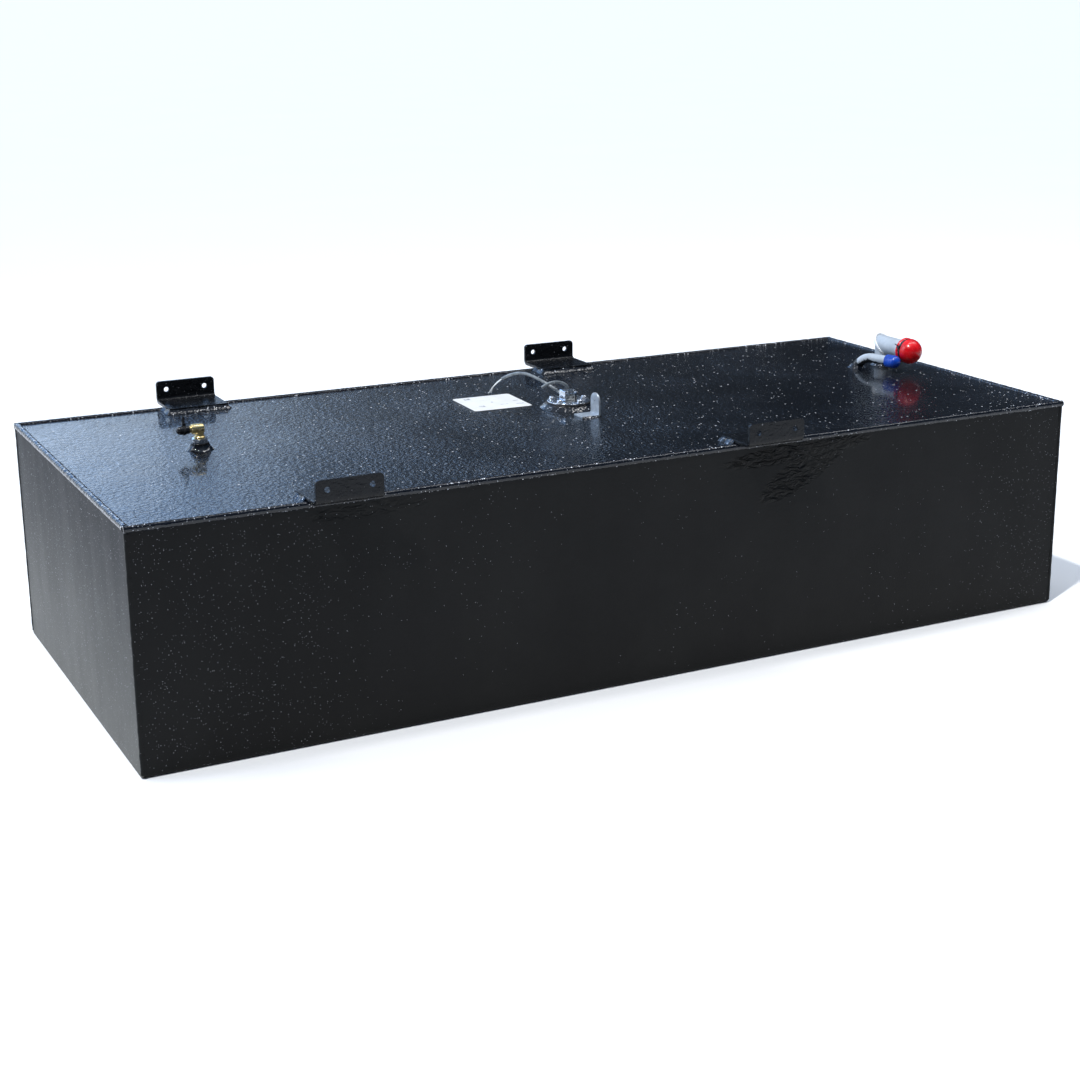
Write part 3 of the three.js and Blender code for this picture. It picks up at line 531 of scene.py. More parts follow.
def smooth_line(route, step=1.5):
    """A centripetal curve through a route, as close points."""
    p = [Vector(q) for q in route]
    p = [2 * p[0] - p[1], *p, 2 * p[-1] - p[-2]]
    out = []
    for a, b, c, d in zip(p, p[1:], p[2:], p[3:]):
        t1 = math.sqrt((b - a).length)
        t2 = t1 + math.sqrt((c - b).length)
        t3 = t2 + math.sqrt((d - c).length)
        count = max(2, round((c - b).length / step))
        for i in range(count):
            t = t1 + (t2 - t1) * i / count
            ab = a * ((t1 - t) / t1) + b * (t / t1)
            bc = b * ((t2 - t) / (t2 - t1)) + c * ((t - t1) / (t2 - t1))
            cd = c * ((t3 - t) / (t3 - t2)) + d * ((t - t2) / (t3 - t2))
            abc = ab * ((t2 - t) / t2) + bc * (t / t2)
            bcd = bc * ((t3 - t) / (t3 - t1)) + cd * ((t - t1) / (t3 - t1))
            out.append(abc * ((t2 - t) / (t2 - t1)) + bcd * ((t - t1) / (t2 - t1)))
    return [*out, p[-2]]


def pipe(line, outer, inner=0.0, sides=40):
    """A round bar, or a pipe if it has a bore, along a line."""
    frames = frames_along(line)
    angles = [2 * math.pi * k / sides for k in range(sides)]

    def rings(radius):
        return [[p + (s * math.cos(a) + u * math.sin(a)) * radius for a in angles]
                for p, (s, u) in zip(line, frames)]
    if not inner:
        return loft(rings(outer))
    return loft([*rings(outer), *reversed(rings(inner))], closed=True)


def moved(shape, matrix):
    points, faces = shape
    return [tuple(matrix @ Vector(p)) for p in points], faces


def joined(*shapes):
    points, faces = [], []
    for ps, fs in shapes:
        start = len(points)
        points += ps
        faces += [[i + start for i in f] for f in fs]
    return points, faces


def temporary(shape):
    return placed("temporary", meshed("temporary", [tuple(p) for p in shape[0]], shape[1], 1e-4))


def dropped(*made):
    for o in made:
        data = o.data
        bpy.data.objects.remove(o)
        bpy.data.meshes.remove(data)


def combined(operation, body, *tools):
    """Exact boolean of closed shapes."""
    body = temporary(body)
    tools = [temporary(t) for t in tools]
    for tool in tools:
        modifier = body.modifiers.new("boolean", "BOOLEAN")
        modifier.operation, modifier.object, modifier.solver = operation, tool, "EXACT"
    evaluated = body.evaluated_get(bpy.context.evaluated_depsgraph_get())
    mesh = evaluated.to_mesh()
    result = [tuple(v.co) for v in mesh.vertices], [list(f.vertices) for f in mesh.polygons]
    evaluated.to_mesh_clear()
    dropped(body, *tools)
    return result


def build(name, shape, slot, replaces=(), body="tank", bevel=0.0, angle=38, segments=2, paint=None):
    """Makes the piece in metres, smooth but for its sharp edges, riding on its body."""
    mesh = meshed(name, [(x / 1000, y / 1000, z / 1000) for x, y, z in shape[0]], shape[1], 2e-7)
    mesh.materials.append(MATERIAL[paint or slot])
    mesh.shade_smooth()
    mesh.set_sharp_from_angle(angle=math.radians(angle))
    made = placed(name, mesh)
    if bevel:
        modifier = made.modifiers.new("edges", "BEVEL")
        modifier.width, modifier.segments = bevel / 1000, segments
        modifier.limit_method, modifier.angle_limit = "ANGLE", math.radians(angle)
        modifier.harden_normals = True
    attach(made, body)
    if replaces:
        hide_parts(*replaces)
    return made


# ---- cords ----

SENDER_LEAD = [
    (44.5, 40.9, 375.4), (44, 45, 376.4), (42, 49.3, 378.8), (39.6, 54, 381.6), (36.2, 59, 384.8),
    (32.8, 64, 387.8), (29.6, 69.2, 390.5), (26.6, 74.3, 393), (20.6, 85.4, 397.3),
    (15, 97.4, 400.7), (9.6, 110.2, 402.6), (4.5, 123, 402), (0.2, 134.2, 399.4),
    (-4, 145.4, 395.2), (-7.6, 155, 390.6), (-10.5, 162.6, 386.5),
]
WHITE_WIRE = [
    (-10.2, 163.6, 386.2), (-11, 165.9, 384.8), (-12, 168.5, 382.9), (-13.3, 171.6, 380.7),
    (-14.6, 174.6, 378.2), (-15.8, 177.4, 375.5), (-17, 180, 372.6), (-18, 182.3, 369.7),
    (-18.8, 184.2, 366.6), (-19.1, 185.1, 364.9), (-19.4, 185.9, 363.2), (-19.6, 186.6, 361.4),
    (-19.7, 187.1, 360.1), (-19.9, 187.6, 358.8), (-20, 188, 357.5),
]
GREY_WIRE = [
    (-12, 162.6, 385.2), (-13.1, 165, 383.4), (-14.2, 167.4, 381.4), (-15.7, 170.4, 378.9),
    (-17.2, 173.4, 376.2), (-18.7, 176.3, 373.4), (-20, 179, 370.4), (-21.1, 181.4, 367.6),
    (-22, 183.4, 364.6), (-22.4, 184.6, 363.1), (-22.8, 185.6, 361.6), (-23.2, 186.6, 360),
    (-23.6, 187.6, 359.1), (-24, 188.6, 358.3), (-24.4, 189.6, 357.5),
]
EARTH_LEAD = [
    (57.5, 41, 374.6), (57.8, 44.4, 375.8), (58.4, 47.2, 378.2), (58.6, 48.4, 381),
    (58.1, 49, 384.4), (56.8, 49, 387.4), (54.6, 48.8, 389.9), (51.8, 48.4, 392),
    (48.6, 48, 393.8), (45, 48, 395.2), (37.2, 48, 397), (29, 48, 397), (21, 48, 395.6),
    (14.4, 48, 393), (9, 48, 390),
]


def make_cord(name, route, radius, slot, node):
    line = smooth_line(route, 1.2)
    made = build(name, pipe(line, radius, sides=20), slot, (node,), bevel=radius * 0.18)


def make_cords():
    make_cord("sender_lead_jacket", SENDER_LEAD, 2.5, "lead_jacket", "sender_lead")
    make_cord("earth_lead_jacket", EARTH_LEAD, 2.5, "lead_jacket", "earth_lead")
    make_cord("sender_wire_white_skin", WHITE_WIRE, 0.9, "wire_insulation", "sender_wire_white")
    make_cord("sender_wire_grey_skin", GREY_WIRE, 0.9, "wire_insulation", "sender_wire_grey")


make_cords()


# ---- weld beads ----

def bead(stations, section, pitch, ripple, core, seed=0.0, swell=None, wander=0.08, closed=False):
    """A rippled weld bead. stations are (point, outward, up), close together along the seam. section is
    a closed outline of (out, up), whose points within reach of core stand still."""
    rings, travel = [], 0.0
    widest = max(math.hypot(o - core[0], u - core[1]) for o, u in section)
    for i, (p, out, up) in enumerate(stations):
        if i:
            travel += (p - stations[i - 1][0]).length
        size = swell(travel) if swell else 1.0
        size *= 1 + wander * noise.noise(Vector((travel / 11.0, seed, 0.3)))
        ring = []
        for o, u in section:
            do, du = o - core[0], u - core[1]
            reach = math.hypot(do, du) / widest
            lag = 0.42 * pitch * (du - do) ** 2 / (widest * widest)
            jitter = 0.3 * noise.noise(Vector((travel / (2.3 * pitch), seed, 4.2)))
            phase = ((travel + lag) / pitch + jitter) % 1.0
            wave = math.sin(math.pi * phase) ** 0.7
            grown = size * (1 + ripple * reach * (wave - 0.55))
            ring.append(p + out * (core[0] + do * grown) + up * (core[1] + du * grown))
        rings.append(ring)
    return loft(rings, closed=closed)


def straight(start, end, out, up, step=0.8):
    start, end = Vector(start), Vector(end)
    count = max(2, int((end - start).length / step))
    return [(start.lerp(end, i / count), Vector(out), Vector(up)) for i in range(count + 1)]


def circle(centre, radius, sides=200):
    out = []
    for i in range(sides):
        a = 2 * math.pi * i / sides
        away = Vector((math.cos(a), math.sin(a), 0))
        out.append((Vector(centre) + away * radius, away, Vector((0, 0, 1))))
    return out


def corner_section(lap, drop, proud, inset=1.7, sheet=3.0):
    """The bead on an outside corner, as (out, up) from the corner."""
    a, b, c, d = (0.25, -drop), (1.25 * proud, -0.5 * drop), (0.9 * proud, 1.1 * proud), (-0.35 * lap, proud)
    e, f = (-0.85 * lap, 0.95 * proud), (-lap, 0.2)

    def face(t):
        return tuple((1 - t) ** 3 * a[k] + 3 * t * (1 - t) ** 2 * b[k] + 3 * t * t * (1 - t) * c[k] + t ** 3 * d[k]
                     for k in (0, 1))

    def toe(t):
        return tuple((1 - t) ** 2 * d[k] + 2 * t * (1 - t) * e[k] + t * t * f[k] for k in (0, 1))

    outline = [face(i / 9) for i in range(10)] + [toe(t) for t in (0.2, 0.4, 0.6, 0.8, 1.0)]
    return outline + [(-inset + 0.3, 0.2), (-inset + 0.3, -sheet), (0.25, -sheet)]


def weld(name, stations, section, pitch, ripple, replaces=(), core=(0.1, 0.3), paint=None, at=Matrix(), **shape):
    """A bead as a piece of its own, in the CAD weld's place."""
    made = moved(bead(stations, section, pitch, ripple, core, **shape), at)
    build(name, made, "painted_weld", replaces, angle=60, paint=paint)


def tank_welds():
    long = HALF_LENGTH + 1.7
    top = corner_section(7, 6, 3.4)
    short = HALF_WIDTH - 7.3
    for side, s in (("front", -1), ("rear", 1)):
        stations = straight((-long, s * HALF_WIDTH, TOP), (long, s * HALF_WIDTH, TOP), (0, s, 0), (0, 0, 1))
        weld(f"top_bead_{side}", stations, top, 5.6, 0.13, (f"top_seam_weld_{side}",), (-0.6, -0.6), seed=s + 5.0)
    for side, s in (("left", -1), ("right", 1)):
        stations = straight((s * HALF_LENGTH, -short, TOP), (s * HALF_LENGTH, short, TOP), (s, 0, 0), (0, 0, 1))
        weld(f"top_bead_{side}", stations, top, 7.5, 0.15, (f"top_seam_weld_{side}",), (-0.6, -0.6),
             seed=s + 11.0, wander=0.14)
    upright = corner_section(6, 5, 1.3)
    for end, sx in (("left", -1), ("right", 1)):
        for face, sy in (("front", -1), ("rear", 1)):
            x, y = sx * HALF_LENGTH, sy * HALF_WIDTH
            stations = straight((x, y, 5), (x, y, 349.5), (0, sy, 0), (sx, 0, 0), 1.1)
            weld(f"corner_bead_{face}_{end}", stations, upright, 5.6, 0.2, (f"corner_weld_{face}_{end}",),
                 (-0.5, -0.5), "satin_black_paint", seed=sx * 3 + sy, wander=0.3)


def fillet_section(toe, height, slump=0.32):
    """A fillet against an upright wall: (out, up) from the wall's foot."""
    face = []
    for i in range(9):
        t = i / 8
        hollow = slump * math.sin(math.pi * t) * 0.45
        face.append((toe * (1 - t) - hollow * toe + 0.15, height * t - hollow * height + 0.25))
    return [(0.1, 0.25), *face]


# ---- brackets ----

BRACKETS = {"front_left": (-497, -1), "front_right": (199, -1), "rear_left": (-507, 1), "rear_right": (187, 1)}


def bracket_shapes():
    """The plate and the stations of its fillet, drawn with the outer face at y = 0."""
    leg, height, plate, bend, half = 80, 37, 5, 5, 50
    outer = bend + plate
    profile = [(leg, 0), (leg, plate), *arc(outer, outer, bend, 270, 180, 12), (plate, height), (0, height),
               *arc(outer, outer, outer, 180, 270, 16)]
    face = [(-half, -1), (half, -1), *arc(half - 6, height - 6, 6, 0, 90, 10),
            *arc(-half + 6, height - 6, 6, 90, 180, 10)]
    blank = combined("INTERSECT", prism(profile, -half - 5, half + 5, "x"), prism(face, -5, 120, "y"))
    hole = prism(arc(0, 0, 4.25, 0, 352.5, 47), -8, 14, "y")
    holes = [moved(hole, shifted(k * 33, 0, 22.5)) for k in (-1, 1)]
    plate_shape = combined("DIFFERENCE", blank, *holes)
    start, up = 43.5, Vector((0, 0, 1))

    def run(a, b, out):
        a, b = Vector(a), Vector(b)
        count = int((b - a).length / 0.7)
        return [(a.lerp(b, i / count), Vector(out), up) for i in range(count)]

    def turn(centre, first, last):
        return [(Vector(centre), Vector((x, y, 0)), up) for x, y in arc(0, 0, 1, first, last, 14)]

    stations = [*run((-half, start, 0), (-half, leg, 0), (-1, 0, 0)), *turn((-half, leg, 0), 180, 90),
                *run((-half, leg, 0), (half, leg, 0), (0, 1, 0)), *turn((half, leg, 0), 90, 0),
                *run((half, leg, 0), (half, start, 0), (1, 0, 0)),
                (Vector((half, start, 0)), Vector((1, 0, 0)), up)]
    return plate_shape, stations


def make_brackets():
    plate, stations = bracket_shapes()
    for index, (place, (x, side)) in enumerate(BRACKETS.items()):
        at = shifted(x, side * (HALF_WIDTH + 35), TOP) @ turned(180 if side > 0 else 0, "Z")
        build(f"bracket_plate_{place}", moved(plate, at @ shifted(0, 0, 4)), "gloss_black_paint",
              (f"bracket_{place}",), bevel=0.45, paint="bracket_paint")

        def lumps(s, k=index):
            slow, quick = noise.noise(Vector((s / 15.0, k * 5.1, 0))), noise.noise(Vector((s / 6.0, k, 2)))
            return 0.8 + 0.34 * slow + 0.1 * quick

        weld(f"bracket_bead_{place}", stations, fillet_section(7.4, 8.0, 0.1), 5.5, 0.12,
             (f"bracket_weld_{place}",), at=at, seed=index * 3.7, swell=lumps)


# ---- outlet ----

OUTLET = Vector((-584, 36, TOP))
ELBOW_AXIS = 33


def cable_tie(inner, height, band, head_angle, length, lean):
    """A nylon tie round Z: toothed band, boxy head with its pawl window, and the cut tail."""
    outer = inner + 1.2
    teeth, sides = [], 120
    for i in range(sides):
        a = 2 * math.pi * i / sides
        r = outer - (0.18 if i % 2 else 0.0)
        section = rounded(box(inner, height - band / 2, r, height + band / 2), 0.35, 2)
        teeth.append([Vector((rr * math.cos(a), rr * math.sin(a), zz)) for rr, zz in section])
    strap = loft(teeth, closed=True)
    block = prism(rounded(box(outer - 0.8, -3, outer + 3.4, 3), 0.7, 3), height - 2.8, height + 2.8)
    window = prism(box(outer + 1.2, -3.6, outer + 2.5, -1.4), height - 1.5, height + 1.5)
    block = combined("DIFFERENCE", block, window)
    rings, steps = [], 22
    for i in range(steps + 1):
        t = i / steps
        along = 1 + (length - 1) * t
        width = 1.9 if t < 0.85 else 1.9 * (1 - (t - 0.85) / 0.15 * 0.45)
        outline = box(0.6, height - width, 1.7 - (0.12 if i % 2 else 0.0), height + width)
        rings.append([Vector((x, along, z)) for x, z in outline])
    tail = moved(loft(rings), shifted(outer, 0, 0) @ turned(lean, "Z"))
    return moved(joined(strap, block, tail), turned(head_angle, "Z"))


def push_cap(rim, dome, radius, wall, skirt=(), lining=()):
    """A soft cap over a pipe's end: its rim below, a dome above, and what skirt and lining add."""
    inner = radius - wall
    return lathe([(inner, rim), *arc(radius - 0.7, rim + 0.7, 0.7, 270, 360, 4), *skirt,
                  *arc(0, dome, radius, 0, 90, 20), *arc(0, dome, inner, 90, 0, 12), *lining], 72)


def make_outlet():
    at = Matrix.Translation(OUTLET)
    bung = rounded(box(9, -8, 14.2, 11.4), [0, 0, 1.1, 0.7], 4)
    build("outlet_bung_body", moved(lathe(bung), at), "gloss_black_paint", ("outlet_bung",), paint="bracket_paint")
    weld("outlet_bung_bead", circle(OUTLET, 14.4), fillet_section(6.2, 7.6, 0.2), 5.0, 0.14,
         ("outlet_bung_weld",), seed=2.2, wander=0.2, closed=True)
    # The reducing bushing: a hexagon with turned-off corners over a short thread.
    hexagon = [polar(13, 60 * i) for i in range(6)]
    nut = prism(rounded(hexagon, 0.5, 2), 11.7, 18.3)
    crown = lathe([(0, 11.6), (11.7, 11.6), (13.2, 12.9), (13.2, 17.1), (11.4, 18.35), (0, 18.35)])
    thread = [(8.7 - 0.45 * (i % 2), 3.0 + 0.55 * i) for i in range(17)]
    shank = lathe([(0, 3.0), *thread, (0, 11.9)])
    bore = rod(7.15, -20, 30, 48)
    nut = combined("DIFFERENCE", combined("INTERSECT", nut, crown), bore)
    shank = combined("DIFFERENCE", shank, bore)
    build("outlet_bushing_body", moved(joined(nut, shank), at @ turned(8, "Z")), "zinc_plate",
          ("outlet_bushing",), bevel=0.25)
    make_elbow()
    cap = push_cap(16, 29.3, 6.6, 1.7)
    arm = at @ shifted(0, 0, ELBOW_AXIS) @ turned(-90, "Y")
    build("outlet_cap_skin", moved(cap, arm), "black_vinyl", ("outlet_cap",), "outlet_cap")
    build("outlet_cap_strap", moved(cable_tie(6.9, 24, 3.6, -4, 13.5, -78), arm), "black_nylon",
          ("outlet_cap_tie",), "outlet_cap", bevel=0.12)


def make_elbow():
    """The forged elbow: rounded body with a collar, a parting line, and a turned spigot."""
    def arm(profile, sides=56):
        return moved(lathe(profile, sides), shifted(0, 0, ELBOW_AXIS) @ turned(-90, "Y"))

    top = ELBOW_AXIS + 1
    upright = lathe([(0, 3.6), (6.3, 3.6), (6.5, 4), (6.5, 18.7), (8.2, 18.7), (8.7, 19.1), (8.7, 20.3),
                     (8.2, 20.9), (7.2, 21.9), (6.9, 23.4), (7.1, top - 5), (7.1, top), (0, top)], 56)
    forged = arm([(0, -7.2), (4.6, -7.2), *arc(5.2, -4.5, 2.7, -90, 0, 6), (7.9, 9.5), (7.7, 11.6), (6.8, 12.5),
                  (0, 12.5)])
    body = combined("UNION", upright, forged)
    collar = arm([(0, 12), (5.2, 12), (5.6, 12.4), (5.6, 15.2), (5.2, 15.6), (0, 15.6)])
    spigot = arm([(0, 15), (4.4, 15), (4.6, 15.4), (4.6, 27.5), (4.2, 28), (0, 28)])
    body = combined("UNION", body, collar, spigot)
    body = combined("DIFFERENCE", body, rod(3.6, -4, ELBOW_AXIS, 40),
                    arm([(0, -3.6), (3.6, -3.6), (3.6, 40), (0, 40)], 40))
    at = Matrix.Translation(OUTLET)
    build("outlet_elbow_body", moved(body, at), "brass", ("outlet_elbow",), bevel=0.5, angle=30, segments=3)


# ---- level sender ----

SENDER = Vector((51, 32, TOP))
SCREWS = [polar(28.5, -4 + 72 * i) for i in range(5)]


def make_sender():
    at = Matrix.Translation(SENDER)
    shelf = rounded([(24, 0.3), (40.2, 0.3), (39.2, 5.6), (37.6, 8.6), (24, 8.6)], [0, 0, 0.8, 0.8, 0.6], 4)
    build("sender_boss_body", moved(lathe(shelf, 96), at), "gloss_black_paint", ("sender_boss",),
          paint="bracket_paint")
    weld("sender_boss_bead", circle(SENDER, 39.2, 420), fillet_section(8.4, 6.4, 0.05), 6.5, 0.07,
         seed=8.1, wander=0.12, closed=True)

    def disc(inner, outer, low, high, edge):
        return lathe(rounded(box(inner, low, outer, high), edge, 4), 96)

    build("sender_gasket_ring", moved(disc(22, 37, 8.9, 9.7, 0.2), at), "nitrile", ("sender_gasket",))
    flange = combined("DIFFERENCE", disc(7.3, 36, 10, 12.3, 0.5),
                      *[moved(rod(2.5, 5, 20, 20), shifted(x, y, 0)) for x, y in SCREWS])
    build("sender_flange_plate", moved(flange, at), "zinc_plate", ("sender_flange",), angle=30)
    half, height, sheet, foot, deep = 11.7, 16.5, 1.5, 5, 10.5
    inside, under, tip = half - sheet, height - sheet, half + foot
    profile = [(-tip, 0), (-inside, 0), (-inside, under), (inside, under), (inside, 0), (tip, 0), (tip, sheet),
               (half, sheet), (half, height), (-half, height), (-half, sheet), (-tip, sheet)]
    curves = [0.2, 0, 1.0, 1.0, 0, 0.2, 0.2, 0.8, 2.2, 2.2, 0.8, 0.2]
    strap = prism(rounded(profile, curves, 5), -deep, deep, "y")
    build("sender_housing_body", moved(strap, at @ shifted(0, 0, 12.6)), "zinc_plate", ("sender_housing",),
          bevel=0.22, angle=50)
    make_terminals(at)
    for i, (x, y) in enumerate(SCREWS):
        spin = Matrix.Rotation(0.7 + 1.9 * i, 4, "Z")
        make_screw(f"sender_screw_{i + 1}", at @ shifted(x, y, 12.6) @ spin)


def make_terminals(at):
    """The terminal block under the housing, with its slots, two posts and nuts."""
    block = prism(rounded(box(-9, -7, 9, 8), 0.8, 3), 12.6, 20.4)
    slots = [prism(box(x - 2.4, -8, x + 2.4, -4.6), 15.4, 24) for x in (-4.6, 4.6)]
    block = combined("DIFFERENCE", block, *slots)
    build("sender_terminal_body", moved(block, at), "terminal_plastic", ("sender_terminal_block",), bevel=0.3)
    post = joined(
        prism([polar(2.6, 60 * k) for k in range(6)], 20.4, 22.2),
        lathe([(0, 20.4), (1.3, 20.4), *[(1.3 - 0.15 * (k % 2), 22.2 + 0.3 * k) for k in range(6)], (0, 23.9)], 20),
    )
    posts = joined(*[moved(post, shifted(x, 1.0, 0)) for x in (-4.6, 4.6)])
    build("sender_terminal_posts", moved(posts, at), "zinc_plate", bevel=0.15)


def make_screw(name, at):
    washer = lathe(rounded(box(2.3, 0, 5.6, 1), 0.25, 3), 40)
    head = lathe([(0, 1.05), (4.6, 1.05), (4.6, 2.3), *arc(2.4, 2.3, 2.2, 0, 75, 6), (0, 4.5)], 40)
    cross = [prism(box(-x, -y, x, y), 2.9, 8) for x, y in ((0.55, 2.3), (2.3, 0.55))]
    head = combined("DIFFERENCE", head, *cross)
    shank = lathe([(0, -9.5), (2, -9.5), *[(2.2 - 0.25 * (k % 2), -9 + 0.6 * k) for k in range(17)], (0, 0.8)], 20)
    build(name + "_body", moved(joined(washer, head, shank), at), "zinc_plate", (name,), bevel=0.12, angle=50)


# ---- earth tab and label ----

def make_tab():
    at = shifted(0, -46.5, TOP)
    strap = rounded([(28, 0.3), (62, 0.3), (62, 38), (59, 38), (59, 3.3), (28, 3.3)], [0.3, 3.6, 0, 0, 1.2, 0.3], 6)
    silhouette = [(-14.5, -1), (14.5, -1), *arc(0, 23.5, 14.5, 0, 180, 36)]
    tab = combined("INTERSECT", prism(strap, -16, 16, "y"), prism(silhouette, 0, 200, "x"))
    hole = moved(rod(1.3, -8, 8, 24), shifted(60.5, 0, 25) @ turned(90, "Y"))
    build("earth_tab_plate", moved(combined("DIFFERENCE", tab, hole), at), "zinc_plate", ("earth_tab",),
          bevel=0.5, angle=45, segments=3, paint="tab_plate")
    stations = straight((62.3, -59.5, TOP), (62.3, -39.5, TOP), (1, 0, 0), (0, 0, 1), 0.5)

    def lump(s):
        return 0.55 + 0.5 * math.sin(math.pi * min(1, max(0, s / 20))) ** 0.5

    def blob(s):
        return 0.5 + 0.5 * math.sin(math.pi * min(1, s / 28)) ** 0.5 + 0.15 * noise.noise(Vector((s / 5, 3, 1)))

    weld("earth_tab_bead", stations, fillet_section(5, 6), 3.8, 0.4, ("earth_tab_weld",), seed=4.4, swell=lump)
    puddle = straight((30, -61.2, TOP), (58, -61.2, TOP), (0, -1, 0), (0, 0, 1), 0.5)
    weld("earth_tab_front_bead", puddle, fillet_section(4.4, 3.0, 0.0), 6.0, 0.1, seed=5.5, swell=blob)


def make_label():
    """Thin sheet with rounded corners, very slightly curled at one of them."""
    half, count = LABEL_HALF, 30
    points = []
    for j in range(count + 1):
        for i in range(count + 1):
            x, y = -half + 2 * half * i / count, -half + 2 * half * j / count
            reach = max(abs(x), abs(y))
            corner = math.hypot(max(0, abs(x) - (half - 5)), max(0, abs(y) - (half - 5)))
            if corner > 5:
                pull = 5 / corner
                x = math.copysign(half - 5 + (abs(x) - half + 5) * pull, x)
                y = math.copysign(half - 5 + (abs(y) - half + 5) * pull, y)
            lift = 0.22 * max(0, (x + y) / (2 * half) - 0.6) + 0.05 * noise.noise(Vector((x / 30, y / 30, 1)))
            points.append((x, y, 0.9 + max(lift, -0.2) - (0.1 if reach > half - 0.5 else 0)))
    size = count + 1
    corners = [j * size + i for j in range(count) for i in range(count)]
    faces = [[k, k + 1, k + size + 1, k + size] for k in corners]
    top = len(points)
    points += [(x, y, 0.3) for x, y, z in points]
    faces += [[v + top for v in reversed(f)] for f in faces]
    rim = [*range(size)] + [j * size + count for j in range(1, size)]
    rim += [count * size + i for i in range(count - 1, -1, -1)] + [j * size for j in range(count - 1, 0, -1)]
    faces += [[a, a + top, b + top, b] for a, b in zip(rim, rim[1:] + rim[:1])]
    at = shifted(*LABEL_AT, TOP) @ turned(LABEL_TURN, "Z")
    build("data_label_sheet", moved((points, faces), at), "data_label", ("data_label",))


# ---- filler and vent ----

FILLER = Vector((733, 70, TOP))
VENT = Vector((676, 75, TOP))
VENT_HEADING = 16
ARM_HEIGHT, VENT_HEIGHT = 38.5, 22
PIPE_BORE, PIPE_RADIUS = 13.3, 16.7


def mitred(shape, sign):
    """Cuts a shape at the mitre plane through the arm's axis."""
    made = temporary(shape)
    bm = bmesh.new()
    bm.from_mesh(made.data)
    plane = Vector((0, -1, 1)).normalized() * sign
    bmesh.ops.bisect_plane(bm, geom=[*bm.verts, *bm.edges, *bm.faces], plane_co=(0, 0, ARM_HEIGHT),
                           plane_no=plane, clear_outer=True)
    bm.verts.index_update()
    result = [tuple(v.co) for v in bm.verts], [[v.index for v in f.verts] for f in bm.faces]
    bm.free()
    dropped(made)
    return result


def make_filler():
    at = Matrix.Translation(FILLER)
    stub = mitred(lathe(box(PIPE_BORE, -12, PIPE_RADIUS, 75), 72), 1)
    end = [(PIPE_BORE, -40), (PIPE_RADIUS, -40), (PIPE_RADIUS, 81.2), (16.1, 82), (13.9, 82), (PIPE_BORE, 81.4)]
    level = shifted(0, 0, ARM_HEIGHT) @ turned(90, "X")
    arm = mitred(moved(lathe(end, 72), level), -1)
    build("filler_stub_pipe", moved(stub, at), "grey_pipe", ("filler_stub",))
    build("filler_arm_pipe", moved(arm, at), "grey_pipe", ("filler_arm",))
    stations = []
    for i in range(320):
        a = 2 * math.pi * i / 320
        rise = PIPE_RADIUS * math.sin(a)
        along = Vector((PIPE_RADIUS * math.cos(a), rise, ARM_HEIGHT + rise))
        out = Vector((math.cos(a), math.sin(a) * 0.5, math.sin(a) * 0.5)).normalized()
        stations.append((along, out, Vector((0, -1, 1)).normalized()))
    round_section = [(2.2 * c, 2.9 * s) for c, s in (polar(1, 30 * k) for k in range(12))]
    ring = bead(stations, round_section, 3.6, 0.3, (-1, 0), seed=1.3, closed=True)
    build("filler_mitre_bead", moved(ring, at), "grey_pipe", ("filler_mitre_weld",), angle=60, paint="mitre_weld")
    weld("filler_base_bead", circle(FILLER, 17.0, 260), fillet_section(7, 6.6, 0.15), 5.0, 0.14,
         ("filler_base_weld",), seed=6.6, wander=0.15, closed=True)
    # The cap is drawn in to a neck under its tie.
    radius, wall_t, neck, tie_at, rim = 22.9, 2.8, 20.5, 72, 64
    skirt = [(radius - 0.2, rim + 2.2), (radius - 0.8, rim + 4), (neck + 0.4, tie_at - 2.9), (neck, tie_at - 2.3),
             (neck, tie_at + 2.3), (neck + 0.4, tie_at + 2.9), (radius - 0.7, tie_at + 4.2)]
    lining = [(radius - wall_t - 0.5, tie_at + 4.6), (17.3, tie_at + 2.2), (17.3, tie_at - 2.2),
              (radius - wall_t - 0.5, rim + 3)]
    cap = push_cap(rim, 77, radius, wall_t, skirt, lining)
    build("filler_cap_skin", moved(cap, at @ level), "red_vinyl", ("filler_cap",), "filler_cap")
    build("filler_cap_strap", moved(cable_tie(neck + 0.3, tie_at, 4.6, 159, 12, -103), at @ level), "black_nylon",
          ("filler_cap_tie",), "filler_cap", bevel=0.12)


def vent_line():
    heading = math.radians(VENT_HEADING - 90)
    bend, axis, below, reach = 40, VENT_HEIGHT, 8, 82
    leave = math.acos(1 - axis / bend)

    def place(along, z):
        return Vector((along * math.cos(heading), along * math.sin(heading), z))

    back, low = bend * (math.sin(leave) - 1), axis - bend
    line = [place(back, low - below * (1 - i / 5)) for i in range(5)]
    for i in range(41):
        a = math.pi / 2 * (1 - i / 40)
        line.append(place(bend * (math.sin(leave) - math.sin(a)), axis - bend * (1 - math.cos(a))))
    end = bend * math.sin(leave)
    return [*line, *[place(end + (reach - end) * i / 14, axis) for i in range(1, 15)]]


def make_vent():
    at = Matrix.Translation(VENT)
    build("vent_pipe_tube", moved(pipe(vent_line(), 8.55, 6.25, 44), at), "grey_pipe", ("vent_pipe",))
    weld("vent_base_bead", circle(VENT, 9.6, 200), fillet_section(7.4, 7.6, 0.2), 4.8, 0.15,
         ("vent_base_weld",), (-1.5, 0.3), seed=9.9, wander=0.2, closed=True)
    cap_at = at @ shifted(0, 0, VENT_HEIGHT) @ turned(VENT_HEADING, "Z") @ turned(90, "X")
    build("vent_cap_skin", moved(push_cap(69, 85, 11.6, 2.5), cap_at), "blue_vinyl", ("vent_cap",), "vent_cap")


# ---- carried-over CAD nodes ----

